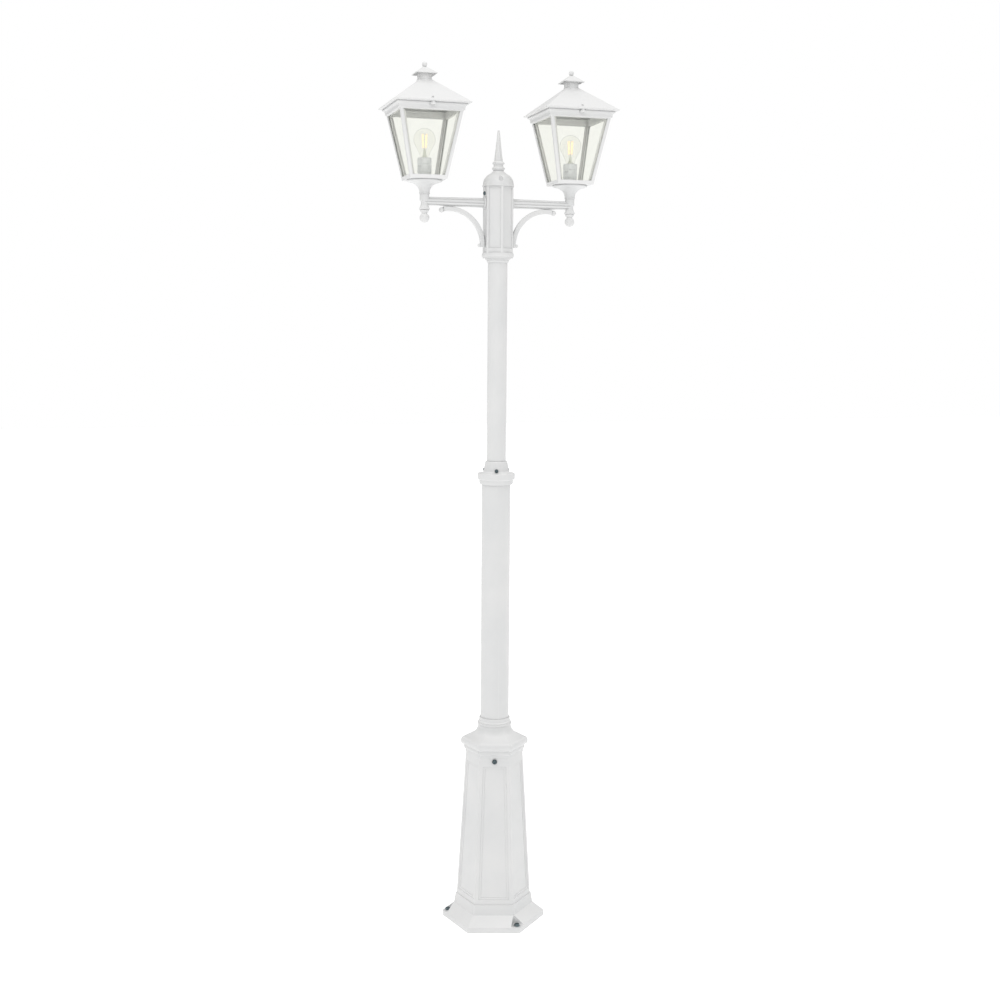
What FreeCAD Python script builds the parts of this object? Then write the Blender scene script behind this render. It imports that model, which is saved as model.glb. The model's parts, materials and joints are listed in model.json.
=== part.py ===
import FreeCAD, Part
import math
import os

# Twin-lantern lamp post in white-coated cast and extruded aluminium.
# Millimetres. +Z is up, the origin is the centre of the foot's underside, and
# the two arms lie along X. Every height is built up from the ground.

Vector = FreeCAD.Vector
UP = Vector(0, 0, 1)
AXIS_X = Vector(1, 0, 0)
AXIS_Y = Vector(0, 1, 0)
SIX = 6
COS30 = math.cos(math.radians(30))

# ---- clearances --------------------------------------------------------------
seat_gap = 0.1          # between faces that rest on each other
slip_gap = 0.3          # between pieces that move past each other
running_gap = 0.06      # radial, shaft in its bearing
hole_gap = 0.4          # radial, screw shank in a clearance hole
pole_flat = 0.2         # radius of the small flat left on the crown of a turned ball

# ---- base casting: hexagonal foot, plinth and tapered shaft ------------------
base_turn = -15.4       # degrees, base clamped slightly turned from the arms
foot_corner = 145.5     # corner radius of the foot
foot_edge = 15.0
skirt_rise = 25.0
plinth_rise = 28.0
plinth_corner_low = 113.0
plinth_corner_high = 108.5
shaft_corner_low = 105.5
shaft_corner_high = 81.0
shaft_rise = 417.0
base_wall = 7.0
panel_margin = 8.0      # flat border between panel and corner
panel_bevel = 6.5
panel_depth = 3.0
panel_low_gap = 14.0    # border under the panel
panel_high_gap = 24.0   # border over the panel, where the clamp screws sit

# ---- anchor bolts on alternate corners of the foot ---------------------------
anchor_radius = 130.0
anchor_count = 3
anchor_shank = 8.0      # diameter
anchor_head_flats = 13.0
anchor_head_height = 5.3
washer_diameter = 20.0
washer_thickness = 1.8
pocket_reach = 24.0     # length of foot edge that the pocket opens
pocket_nose = 5.0       # rounding where the pocket meets the plinth

# ---- base crown: moulded cap that carries the lower pole ---------------------
crown_band = 8.0
crown_cove = 5.0
crown_fillet = 9.0
crown_nose_rise = 22.0
crown_sweep_rise = 38.0
crown_neck_rise = 21.0
crown_band_corner = 82.2
crown_fillet_corner = 86.3
crown_nose_corner = 95.0
crown_sweep_corner = 90.0
crown_neck_wall = 6.0   # neck outside the lower pole
crown_lip_wall = 3.0
crown_spigot_depth = 32.0
crown_spigot_wall = 7.0
crown_floor = 12.0
crown_screw_drop = 9.0  # screw centre below the crown's lower edge
bridge_width = 34.0
bridge_thickness = 8.0

# ---- clamp screws ------------------------------------------------------------
base_screw_shank = 8.0
base_screw_head = 14.0
pole_screw_shank = 6.0
pole_screw_head = 10.5
screw_count = 3

# ---- poles and the collar that joins them ------------------------------------
lower_pole_diameter = 80.0
lower_pole_wall = 3.0
lower_pole_shown = 660.0
upper_pole_diameter = 53.0
upper_pole_wall = 2.5
upper_pole_shown = 541.0
upper_pole_inserted = 182.0
collar_skirt = 14.0
collar_skirt_wall = 6.5 # outside the lower pole
collar_step_wall = 8.0
collar_ring = 17.0
collar_ring_wall = 12.0
collar_cove = 9.0
collar_taper = 24.0
collar_taper_wall_low = 8.0     # outside the upper pole
collar_taper_wall_high = 4.0
collar_socket = 22.0    # depth of the lower pole in the collar
bush_height = 22.0
bush_floor = 5.0
collar_screw_drop = 1.0 # screw centre below the taper's foot
collar_screw_turn = -15.0
collar_screw_land = 1.2 # spot face outside the taper's foot

# ---- hub: six-sided body between the arms ------------------------------------
hub_corner = 42.6
hub_rise = 176.5
hub_wall = 5.0
hub_panel_margin = 5.0
hub_panel_depth = 1.6
hub_panel_low = 14.0
hub_panel_high = 4.0
hub_ring_rise = 26.0
hub_ring_over = 1.2     # ring outside the hub's corners
hub_neck_wall = 4.0     # outside the upper pole
hub_spigot_height = 9.0
hub_socket = 22.0
bridge_drop = 18.0      # bridge centre below the hub's top
hub_bridge_height = 12.0
hub_bridge_depth = 24.0

# ---- dome and spire ----------------------------------------------------------
dome_rise = 42.0
dome_lip = 3.0
dome_neck_radius = 14.4
dome_over = 0.4         # dome's rim outside the hub's corners
spire_rise = 108.0
spire_collar_radius = 17.6
spire_waist_radius = 12.8
spire_ring_radius = 16.6
spire_corner = 12.6
spire_tip = 3.4
spire_stud = 8.0        # diameter

# ---- arms --------------------------------------------------------------------
arm_reach = 204.7       # post axis to lantern axis
arm_drop = 43.5         # arm centre below the hub's top
arm_diameter_hub = 25.4
arm_diameter_end = 21.8
arm_bore = 10.0
arm_grooves = (0, 42, 138, 180, 222, 318)
groove_depth = 1.3
groove_half_angle = 7.0
rosette_radius = 16.0
rosette_thickness = 5.5
tenon_diameter = 18.0
tenon_inside = 8.0
arm_nut_flats = 24.0
arm_nut_height = 6.0
boss_radius = 12.8
boss_waist_radius = 9.4
boss_bell_radius = 14.7
boss_rise = 17.5        # above the arm's centre
boss_fall = 23.0        # below the arm's centre
boss_spigot_radius = 9.0
boss_spigot_rise = 15.0
arm_finial_ball = 13.0
arm_finial_drop = 57.0  # arm centre to the underside of the ball
arm_finial_stud = 8.0

# ---- scroll brackets ---------------------------------------------------------
scroll_foot_rise = 20.5 # bracket's centre above the hub's lower edge, at least
scroll_band = 13.0
scroll_depth = 12.0
scroll_over = 9.0       # degrees that the band runs past its highest point
scroll_under = 3.0      # degrees that it runs below its centre
scroll_ball_high = 7.2
scroll_ball_low = 4.8
scroll_ball_on = 3.5     # degrees from the band's outer end to its ball's middle
scroll_clear = 3.0       # from that ball to the arm's end boss, at least
scroll_screw = 5.0
scroll_screw_rise = 6.0 # screw above the bracket's centre
scroll_bite = 0.9       # band let into the arm's groove
pin_drop = 7.5          # top of the dowel below the arm's centre

# ---- cup under each lantern --------------------------------------------------
cup_rise = 37.0
cup_disc_radius = 47.0
cup_disc_edge = 3.5
cup_ring_radius = 14.6
stem_diameter = 10.0
stem_bore = 6.4
stem_start = 12.5       # above the arm's centre
locknut_flats = 17.0
locknut_height = 4.0

# ---- lantern frame -----------------------------------------------------------
tray_half = 50.2        # half side of the frame at its foot
frame_half = 84.3       # half side where the posts meet the cornice
frame_rise = 171.0
tray_floor = 3.5
tray_rail = 10.0
post_leg = 9.0
post_wall = 3.0
cornice_rise = 18.5
cornice_foot_over = 3.7 # cornice outside the frame's posts
cornice_top_over = 9.9
cornice_fillet = 4.0
cornice_rim = 7.8       # rim inside the frame's posts
pane_thickness = 3.0
pane_edge_gap = 6.8     # pane edge inside the frame's corner
strip_leg = 8.5
strip_wall = 2.2
drain_diameter = 4.0

# ---- roof --------------------------------------------------------------------
eave_over = 9.4         # eave outside the cornice
eave_edge = 2.2
eave_soffit = 6.0
eave_chamfer = 2.0
lip_inset = 9.8         # foot of the slope inside the eave
lip_rise = 10.6         # lip above the roof's seat
roof_pitch = 0.75       # rise over run
roof_wall = 3.0
roof_rim_inset = 0.3    # inside the frame's posts
chimney_radius = 19.5
chimney_wall = 2.5
chimney_shown = 22.675  # above the slope
chimney_inserted = 6.0
chimney_bar = 10.0
cap_over = 9.1          # cap outside the chimney
cap_drop = 6.0          # cap's edge below the chimney's top
cap_seat_over = 0.5
cap_rise = 18.0
cap_edge = 2.0
cap_wall = 2.5
ball_radius = 6.9
ball_neck_radius = 3.6
ball_rise = 27.0        # chimney top to the top of the ball
ball_stud = 5.0

# ---- roof hinge and its thumb screw ------------------------------------------
hinge_over = 3.4        # hinge axis in front of the cornice
hinge_drop = 4.2        # hinge axis below the cornice's top
hinge_pin = 3.0         # diameter
ear_radius = 3.9
ear_thickness = 3.0
ear_spread = 10.0
leaf_size = 13.0
leaf_thickness = 2.5
rivet_head = 5.0
rivet_back = 4.0        # rivet behind the hinge axis
thumb_over = 4.4        # thumb screw behind the cornice
thumb_shank = 5.0
thumb_head_radius = 7.0
thumb_head_height = 8.0
thumb_engage = 7.0
lug_size = 14.0
lug_thickness = 7.0

# ---- lamp holder and lamp ----------------------------------------------------
holder_radius = 18.8
holder_rise = 50.0
holder_floor = 21.0
lamp_cap_radius = 13.2
lamp_cap_rise = 27.0
lamp_radius = 29.5
lamp_rise = 106.0
lamp_glass = 0.9
lamp_stem_radius = 4.0
filament_radius = 1.0
filament_ring = 8.0
filament_rise = 36.0
filament_count = 4

# ---- wiring held inside ------------------------------------------------------
cable_diameter = 8.0
lead_diameter = 4.4
lead_bend = 12.0
terminal_length = 30.0
terminal_width = 22.0
terminal_height = 18.0
hub_block_length = 28.0
hub_block_width = 18.0
hub_block_height = 20.0

# ---- heights that follow -----------------------------------------------------
skirt_top = foot_edge + skirt_rise
plinth_top = skirt_top + plinth_rise
shaft_top = plinth_top + shaft_rise
crown_top = (shaft_top + crown_band + crown_cove + crown_fillet + crown_nose_rise
             + crown_sweep_rise + crown_neck_rise)
lower_pole_foot = shaft_top + crown_floor
collar_low = crown_top + lower_pole_shown
collar_top = collar_low + collar_skirt + collar_ring + collar_cove + collar_taper
hub_ring_low = collar_top + upper_pole_shown
hub_low = hub_ring_low + hub_ring_rise
hub_top = hub_low + hub_rise
arm_z = hub_top - arm_drop
cup_low = arm_z + boss_rise
tray_z = cup_low + cup_rise
frame_top = tray_z + frame_rise
cornice_top = frame_top + cornice_rise
roof_seat = cornice_top + slip_gap
lamp_seat = tray_z + tray_floor + locknut_height
crown_screw_z = shaft_top - crown_screw_drop
collar_screw_z = collar_top - collar_taper - collar_screw_drop
bridge_z = hub_top - bridge_drop
lead_start = hub_block_length / 2 + seat_gap
lead_top = lamp_seat + holder_floor * 0.45
hinge_z = cornice_top - hinge_drop
thumb_seat = roof_seat + eave_chamfer + eave_edge

# ---- radii and half sides that follow ----------------------------------------
crown_neck_radius = lower_pole_diameter / 2 + crown_neck_wall
crown_lip_radius = lower_pole_diameter / 2 + crown_lip_wall
collar_skirt_radius = lower_pole_diameter / 2 + collar_skirt_wall
collar_step_radius = lower_pole_diameter / 2 + collar_step_wall
collar_ring_radius = lower_pole_diameter / 2 + collar_ring_wall
collar_taper_low = upper_pole_diameter / 2 + collar_taper_wall_low
collar_taper_high = upper_pole_diameter / 2 + collar_taper_wall_high
collar_land = collar_taper_low + collar_screw_land
hub_face = hub_corner * COS30
hub_ring_radius = hub_corner + hub_ring_over
hub_neck_radius = upper_pole_diameter / 2 + hub_neck_wall
scroll_crest = arm_z - arm_diameter_hub / 2 + scroll_bite - scroll_band / 2
scroll_room_down = scroll_crest - (hub_low + scroll_foot_rise)
scroll_room_out = ((arm_reach - boss_bell_radius - scroll_clear - scroll_ball_high
                    - hub_face - seat_gap - scroll_band / 2)
                   / (1 + math.sin(math.radians(scroll_over + scroll_ball_on))))
scroll_radius = min(scroll_room_down, scroll_room_out)
scroll_centre_z = scroll_crest - scroll_radius
scroll_centre_x = hub_face + seat_gap + scroll_band / 2 + scroll_radius
scroll_screw_z = scroll_centre_z + scroll_screw_rise
cornice_foot_half = frame_half + cornice_foot_over
cornice_top_half = frame_half + cornice_top_over
cornice_opening = frame_half - cornice_rim
eave_half = cornice_top_half + eave_over
lip_half = eave_half - lip_inset
roof_rim_inner = frame_half - roof_rim_inset
hinge_out = cornice_top_half + hinge_over
rivet_y = -(hinge_out - rivet_back)
thumb_out = cornice_top_half + thumb_over
chimney_top = roof_seat + lip_rise + (lip_half - chimney_radius) * roof_pitch + chimney_shown
cap_half = chimney_radius + cap_over
cap_seat_half = chimney_radius + cap_seat_over
cap_low = chimney_top - cap_drop
side_name = {-1: "left", 1: "right"}


# ---- small building blocks ---------------------------------------------------
def export(name, *solids):
    shape = solids[0] if len(solids) == 1 else Part.makeCompound(list(solids))
    shape.exportStep("parts/" + name + ".step")


def polygon(points):
    return Part.makePolygon(list(points) + [points[0]])


def hexagon(corner, z):
    return polygon([Vector(corner * math.cos(math.radians(60 * k)),
                           corner * math.sin(math.radians(60 * k)), z) for k in range(SIX)])


def square(half, z, x=0.0):
    return polygon([Vector(x - half, -half, z), Vector(x + half, -half, z),
                    Vector(x + half, half, z), Vector(x - half, half, z)])


def loft(*wires):
    return Part.makeLoft(list(wires), True, True)


def hex_frustum(corner_low, z_low, corner_high, z_high):
    return loft(hexagon(corner_low, z_low), hexagon(corner_high, z_high))


def square_frustum(half_low, z_low, half_high, z_high, x=0.0):
    return loft(square(half_low, z_low, x), square(half_high, z_high, x))


def stacked(profile, section, x=0.0):
    """Fuses frustums through a list of (half size, z)."""
    solids = []
    for (low, z_low), (high, z_high) in zip(profile, profile[1:]):
        if section == "hexagon":
            solids.append(hex_frustum(low, z_low, high, z_high))
        else:
            solids.append(square_frustum(low, z_low, high, z_high, x))
    return solids[0].multiFuse(solids[1:]).removeSplitter()


def tube(outer, inner, z_low, z_high, x=0.0):
    base = Vector(x, 0, z_low)
    solid = Part.makeCylinder(outer, z_high - z_low, base)
    if inner > 0:
        solid = solid.cut(Part.makeCylinder(inner, z_high - z_low, base))
    return solid


def rod(radius, start, end):
    return Part.makeCylinder(radius, (end - start).Length, start, end - start)


def box(x0, x1, y0, y1, z0, z1):
    return Part.makeBox(x1 - x0, y1 - y0, z1 - z0, Vector(x0, y0, z0))


def turned(steps, x=0.0):
    """Revolves an outline of (r, z) points about the vertical line at x.

    A step of four numbers (r_mid, z_mid, r, z) is an arc through its middle."""
    edges = []
    here = Vector(steps[0][0], 0, steps[0][1])
    for step in list(steps[1:]) + [steps[0]]:
        there = Vector(step[-2], 0, step[-1])
        if len(step) == 4:
            edges.append(Part.Arc(here, Vector(step[0], 0, step[1]), there).toShape())
        elif (there - here).Length > 1e-6:
            edges.append(Part.LineSegment(here, there).toShape())
        here = there
    face = Part.Face(Part.Wire(edges))
    solid = face.revolve(Vector(0, 0, 0), UP, 360)
    solid.translate(Vector(x, 0, 0))
    return solid


def ball(radius, centre):
    flat = math.sqrt(radius * radius - pole_flat * pole_flat)
    solid = turned([(0, -flat), (pole_flat, -flat), (radius, 0, pole_flat, flat), (0, flat)])
    solid.translate(centre)
    return solid


def rotated(shape, degrees, centre=Vector(0, 0, 0), axis=UP):
    copy = shape.copy()
    copy.rotate(centre, axis, degrees)
    return copy


def moved(shape, x=0.0, y=0.0, z=0.0):
    copy = shape.copy()
    copy.translate(Vector(x, y, z))
    return copy


def hex_prism(flats, height, base, direction=UP):
    """Hexagonal nut or bolt head, standing on base along direction."""
    solid = Part.Face(hexagon(flats / 2 / COS30, 0)).extrude(UP * height)
    solid.Placement = FreeCAD.Placement(base, FreeCAD.Rotation(UP, direction))
    return solid


def button_screw(head_diameter, shank_diameter, length, base, direction):
    """Domed socket screw: head seated at base, shank running back from it."""
    radius = head_diameter / 2
    height = head_diameter * 0.45
    head = turned([(0, 0), (radius, 0), (radius * 0.8, height * 0.75, radius * 0.4, height), (0, height)])
    socket = hex_prism(head_diameter * 0.36, height, Vector(0, 0, height * 0.45))
    shank = Part.makeCylinder(shank_diameter / 2, length, Vector(0, 0, -length))
    solid = head.cut(socket).fuse(shank)
    solid.Placement = FreeCAD.Placement(base, FreeCAD.Rotation(UP, direction))
    return solid


def around(solid, count, first=0.0):
    return [rotated(solid, first + 360.0 / count * k) for k in range(count)]


def half_at(z):
    """Half side of the lantern frame's outer face at a height."""
    return tray_half + (frame_half - tray_half) * (z - tray_z) / frame_rise


def shaft_corner_at(z):
    share = (z - plinth_top) / shaft_rise
    return shaft_corner_low + (shaft_corner_high - shaft_corner_low) * share


# ---- base --------------------------------------------------------------------
def base_panel():
    """Sunk panel with a bevelled border, cut into the face towards -Y."""
    def corner_points(inset, depth):
        points = []
        for z, sides in ((plinth_top + panel_low_gap + inset, (-1, 1)),
                         (shaft_top - panel_high_gap - inset, (1, -1))):
            half = shaft_corner_at(z) / 2 - panel_margin - inset
            face = shaft_corner_at(z) * COS30
            points += [Vector(side * half, -(face - depth), z) for side in sides]
        return points
    outside = polygon(corner_points(-panel_bevel, -panel_depth))
    inside = polygon(corner_points(panel_bevel, panel_depth))
    return loft(outside, inside)


def anchor_pocket():
    """Vertical-walled pocket that flattens one corner of the skirt for a bolt head."""
    along = pocket_reach * 0.5
    across = pocket_reach * COS30
    edge_x = foot_corner - along
    out = 2.2
    nose_x = plinth_corner_low + pocket_nose
    slope = Vector(edge_x - plinth_corner_low, across, 0)
    far = Vector(plinth_corner_low, 0, 0) + slope * out
    points = [Vector(plinth_corner_low, 0, 0), Vector(far.x, -far.y, 0), Vector(far.x, far.y, 0)]
    wedge = Part.Face(polygon(points)).extrude(UP * (skirt_rise + 1))
    wedge = wedge.cut(box(plinth_corner_low - 1, nose_x, -across, across, -1, skirt_rise + 2))
    nose_radius = (nose_x - plinth_corner_low) * slope.y / slope.x
    wedge = wedge.fuse(Part.makeCylinder(nose_radius, skirt_rise + 1, Vector(nose_x, 0, 0)))
    return moved(wedge, z=foot_edge)


def base_casting():
    outer = stacked([(foot_corner, 0), (foot_corner, foot_edge), (plinth_corner_low, skirt_top),
                     (plinth_corner_high, plinth_top)], "hexagon")
    outer = outer.fuse(hex_frustum(shaft_corner_low, plinth_top, shaft_corner_high, shaft_top))
    wall = base_wall / COS30
    inner = hex_frustum(shaft_corner_low - wall, plinth_top, shaft_corner_high - wall, shaft_top)
    low = hex_frustum(shaft_corner_low - wall, 0, shaft_corner_low - wall, plinth_top)
    solid = outer.cut(inner.fuse(low))
    panel = base_panel()
    for k in range(SIX):
        solid = solid.cut(rotated(panel, 60 * k))
    hole = Part.makeCylinder(anchor_shank / 2 + hole_gap, foot_edge, Vector(anchor_radius, 0, 0))
    for k in range(anchor_count):
        turn = 60 + 120 * k
        solid = solid.cut(rotated(anchor_pocket(), turn)).cut(rotated(hole, turn))
    screw_hole = rod(base_screw_shank / 2 + hole_gap, Vector(0, -plinth_corner_low, crown_screw_z),
                     Vector(0, 0, crown_screw_z))
    for k in range(screw_count):
        solid = solid.cut(rotated(screw_hole, 120 * k))
    export("base_casting", rotated(solid, base_turn))


def anchors():
    spot = Vector(anchor_radius, 0, foot_edge)
    seat = spot + UP * (washer_thickness + seat_gap)
    head = hex_prism(anchor_head_flats, anchor_head_height, seat)
    shank = Part.makeCylinder(anchor_shank / 2, seat.z - slip_gap, Vector(anchor_radius, 0, slip_gap))
    bolt = head.fuse(shank)
    washer = Part.makeCylinder(washer_diameter / 2, washer_thickness, spot)
    washer = washer.cut(Part.makeCylinder(anchor_shank / 2 + hole_gap, washer_thickness, spot))
    export("anchor_bolts", *around(bolt, anchor_count, 60 + base_turn))
    export("anchor_washers", *around(washer, anchor_count, 60 + base_turn))


def hex_prism_from_outline(edges_of):
    """Solid with a hexagonal plan whose face distance follows an outline."""
    solid = None
    for k in range(3):
        face = Part.Face(Part.Wire(edges_of()))
        bar = face.extrude(AXIS_X * (4 * foot_corner))
        bar.translate(Vector(-2 * foot_corner, 0, 0))
        bar = rotated(bar, 60 * k)
        solid = bar if solid is None else solid.common(bar)
    return solid


def crown_outline():
    """Half outline of the crown over a flat face, mirrored, in the YZ plane."""
    z0 = shaft_top
    z1 = z0 + crown_band
    z2 = z1 + crown_cove
    z3 = z2 + crown_fillet
    z4 = z3 + crown_nose_rise
    z5 = z4 + crown_sweep_rise
    nose_mid = z3 + crown_nose_rise * 0.45
    points = [(crown_band_corner, z0), (crown_band_corner, z1), (crown_fillet_corner, z2),
              (crown_fillet_corner, z3)]
    right = [Vector(0, r * COS30, z) for r, z in points]
    nose = (Vector(0, crown_nose_corner * COS30, nose_mid), Vector(0, crown_sweep_corner * COS30, z4))
    bulge = (Vector(0, (crown_nose_corner - 2) * COS30, z3 + crown_nose_rise * 0.2),
             Vector(0, (crown_nose_corner - 1) * COS30, z4 - crown_nose_rise * 0.25))
    top = Vector(0, crown_neck_radius * COS30, z5)
    middle = Vector(0, (crown_sweep_corner * 0.3 + crown_neck_radius * 0.7) * COS30,
                    z4 + crown_sweep_rise * 0.36)
    half = [(right[0], right[1]), (right[1], right[2]), (right[2], right[3]),
            (right[3], bulge[0], nose[0]), (nose[0], bulge[1], nose[1]), (nose[1], middle, top)]

    def edge(points_, flip):
        pts = [Vector(0, -p.y, p.z) if flip else p for p in points_]
        if len(pts) == 2:
            return Part.LineSegment(*pts).toShape()
        return Part.Arc(*pts).toShape()

    edges = [edge(piece, False) for piece in half]
    edges.append(Part.LineSegment(top, Vector(0, -top.y, top.z)).toShape())
    edges += [edge(piece, True) for piece in reversed(half)]
    edges.append(Part.LineSegment(Vector(0, -right[0].y, z0), right[0]).toShape())
    return edges


def base_crown():
    body = hex_prism_from_outline(crown_outline)
    z4 = crown_top - crown_sweep_rise - crown_neck_rise
    z5 = crown_top - crown_neck_rise
    neck_low = crown_sweep_corner * COS30 * 0.92
    neck = turned([(0, z4), (neck_low, z4),
                   (crown_neck_radius * 0.72 + neck_low * 0.28, z4 + crown_sweep_rise * 0.42,
                    crown_neck_radius, z5),
                   (crown_neck_radius + 1.4, z5 + 3, crown_neck_radius, z5 + 6),
                   (crown_lip_radius, z5 + 7), (crown_lip_radius - 1.2, crown_top), (0, crown_top)])
    body = body.fuse(neck)
    wall = base_wall / COS30
    low = shaft_top - crown_spigot_depth
    outer = hex_frustum(shaft_corner_at(low) - wall - seat_gap, low,
                        shaft_corner_high - wall - seat_gap, shaft_top)
    spigot_wall = crown_spigot_wall / COS30
    inner = hex_frustum(shaft_corner_at(low) - wall - spigot_wall, low,
                        shaft_corner_high - wall - spigot_wall, shaft_top)
    bridge = box(-bridge_width / 2, bridge_width / 2, -shaft_corner_high, shaft_corner_high,
                 low, low + bridge_thickness).common(outer)
    body = body.fuse(outer.cut(inner)).fuse(bridge)
    socket = lower_pole_diameter / 2 + seat_gap
    body = body.cut(Part.makeCylinder(socket, crown_top, Vector(0, 0, lower_pole_foot)))
    body = body.cut(Part.makeCylinder(socket - 2 * lower_pole_wall, crown_floor + 1,
                                      Vector(0, 0, shaft_top - 0.5)))
    thread = rod(base_screw_shank / 2 + seat_gap, Vector(0, -foot_corner, crown_screw_z),
                 Vector(0, 0, crown_screw_z))
    for k in range(screw_count):
        body = body.cut(rotated(thread, 120 * k))
    export("base_crown", rotated(body.removeSplitter(), base_turn))


def crown_screws():
    slope = math.degrees(math.atan((shaft_corner_low - shaft_corner_high) * COS30 / shaft_rise))
    face = shaft_corner_at(crown_screw_z) * COS30
    length = base_wall + crown_spigot_wall - 1
    screw = button_screw(base_screw_head, base_screw_shank, length,
                         Vector(0, -face - seat_gap - base_screw_head / 2 * math.tan(math.radians(slope)),
                                crown_screw_z), -AXIS_Y)
    export("crown_screws", *around(screw, screw_count, base_turn))


# ---- poles -------------------------------------------------------------------
def lower_pole():
    radius = lower_pole_diameter / 2
    top = collar_low + collar_socket
    export("lower_pole", tube(radius, radius - lower_pole_wall, lower_pole_foot, top))


def pole_collar():
    z1 = collar_low + collar_skirt
    z2 = z1 + collar_ring
    z3 = z2 + collar_cove
    body = turned([
        (0, collar_low), (collar_skirt_radius - 3, collar_low),
        (collar_skirt_radius - 0.9, collar_low + 0.9, collar_skirt_radius, collar_low + 3),
        (collar_step_radius, z1 - 1.5), (collar_ring_radius - 0.5, z1 + 1.5),
        (collar_ring_radius, z1 + 4), (collar_ring_radius, z2 - 1),
        (collar_ring_radius - 1, z2),
        (collar_taper_low + 5, z2 + 2.6, collar_taper_low, z3),
        (collar_taper_high, collar_top - 1), (collar_taper_high - 1, collar_top), (0, collar_top)])
    lower = lower_pole_diameter / 2 + seat_gap
    upper = upper_pole_diameter / 2 + running_gap
    body = body.cut(Part.makeCylinder(lower, collar_socket, Vector(0, 0, collar_low)))
    body = body.cut(Part.makeCylinder(upper, collar_top, Vector(0, 0, collar_low)))
    thread = rod(pole_screw_shank / 2 + seat_gap, Vector(0, -lower_pole_diameter, collar_screw_z),
                 Vector(0, 0, collar_screw_z))
    spot = rod(pole_screw_head / 2 + seat_gap, Vector(0, -lower_pole_diameter, collar_screw_z),
               Vector(0, -collar_land, collar_screw_z))
    for k in range(screw_count):
        body = body.cut(rotated(thread.fuse(spot), collar_screw_turn + 120 * k))
    export("pole_collar", body.removeSplitter())


def collar_screws():
    length = collar_land - upper_pole_diameter / 2 - slip_gap
    screw = button_screw(pole_screw_head, pole_screw_shank, length,
                         Vector(0, -collar_land, collar_screw_z), -AXIS_Y)
    export("collar_screws", *around(screw, screw_count, collar_screw_turn))


def upper_pole():
    radius = upper_pole_diameter / 2
    export("upper_pole", tube(radius, radius - upper_pole_wall, collar_top - upper_pole_inserted,
                              hub_ring_low + hub_socket))


def guide_bush():
    """Plastic bush in the lower pole that centres the upper pole's foot and carries it."""
    foot = collar_top - upper_pole_inserted
    outer = lower_pole_diameter / 2 - lower_pole_wall - seat_gap
    inner = upper_pole_diameter / 2 + running_gap
    ring = tube(outer, inner, foot, foot + bush_height - bush_floor)
    floor = tube(outer, inner - 2 * upper_pole_wall, foot - slip_gap - bush_floor, foot - slip_gap)
    joint = tube(outer, inner, foot - slip_gap, foot)
    export("guide_bush", ring.fuse(floor).fuse(joint).removeSplitter())


# ---- hub ---------------------------------------------------------------------
def hub_plan(corner, z):
    """Hexagon turned so that its faces look along the arms."""
    return polygon([Vector(corner * math.cos(math.radians(60 * k + 30)),
                           corner * math.sin(math.radians(60 * k + 30)), z) for k in range(SIX)])


def hub_prism(corner, z_low, z_high):
    return Part.Face(hub_plan(corner, z_low)).extrude(UP * (z_high - z_low))


def hub_ring():
    z = hub_ring_low
    r = hub_ring_radius
    neck = hub_neck_radius
    body = turned([
        (0, z), (neck - 2.5, z), (neck, z + 5), (neck, z + 8), (neck + 4, z + 9), (neck + 4, z + 11.5),
        (r - 3, z + 12), (r - 3, z + 15), (r - 1, z + 15.5),
        (r, z + 20.5, r - 1.4, hub_low), (0, hub_low)])
    spigot = hub_prism(hub_corner - (hub_wall + seat_gap) / COS30, hub_low, hub_low + hub_spigot_height)
    body = body.fuse(spigot)
    body = body.cut(Part.makeCylinder(upper_pole_diameter / 2 + seat_gap, hub_socket, Vector(0, 0, z)))
    bore = upper_pole_diameter / 2 - upper_pole_wall - 1
    body = body.cut(Part.makeCylinder(bore, 2 * hub_ring_rise, Vector(0, 0, z)))
    export("hub_ring", body.removeSplitter())


def hub_body():
    body = hub_prism(hub_corner, hub_low, hub_top)
    body = body.cut(hub_prism(hub_corner - hub_wall / COS30, hub_low, hub_top))
    half = hub_corner / 2 - hub_panel_margin
    low = hub_low + hub_panel_low
    high = hub_top - hub_panel_high
    bevel = hub_panel_depth

    def outline(y, grow):
        return polygon([Vector(-half - grow, y, low - grow), Vector(half + grow, y, low - grow),
                        Vector(half + grow, y, high + grow), Vector(-half - grow, y, high + grow)])
    panel = loft(outline(-hub_face - bevel, bevel), outline(-hub_face + bevel, -bevel))
    for turn in (30, 150, 210, 330):
        body = body.cut(rotated(panel, turn))
    for side in (-1, 1):
        out = Vector(side * hub_corner, 0, 0)
        body = body.cut(rod(tenon_diameter / 2 + hole_gap, UP * arm_z, UP * arm_z + out))
        body = body.cut(rod(pole_screw_shank / 2 + hole_gap, UP * bridge_z, UP * bridge_z + out))
        body = body.cut(rod(scroll_screw / 2 + hole_gap, UP * scroll_screw_z, UP * scroll_screw_z + out))
    export("hub_body", body)


def hub_bridge():
    """Bar across the hub's inside that the side screws hold and the spire's stud pulls on."""
    half = hub_face - hub_wall - seat_gap
    bar = box(-half, half, -hub_bridge_depth / 2, hub_bridge_depth / 2,
              bridge_z - hub_bridge_height / 2, bridge_z + hub_bridge_height / 2)
    for side in (-1, 1):
        inner = Vector(side * (half - 12), 0, bridge_z)
        bar = bar.cut(rod(pole_screw_shank / 2 + seat_gap, inner, Vector(side * half, 0, bridge_z)))
    bar = bar.cut(tube(spire_stud / 2 + seat_gap, 0, bridge_z - hub_bridge_height, hub_top))
    export("hub_bridge", bar)


def hub_screws():
    screws = []
    for side in (-1, 1):
        length = hub_wall + 11
        screws.append(button_screw(pole_screw_head, pole_screw_shank, length,
                                   Vector(side * (hub_face + seat_gap), 0, bridge_z), AXIS_X * side))
    export("hub_screws", *screws)


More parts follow.
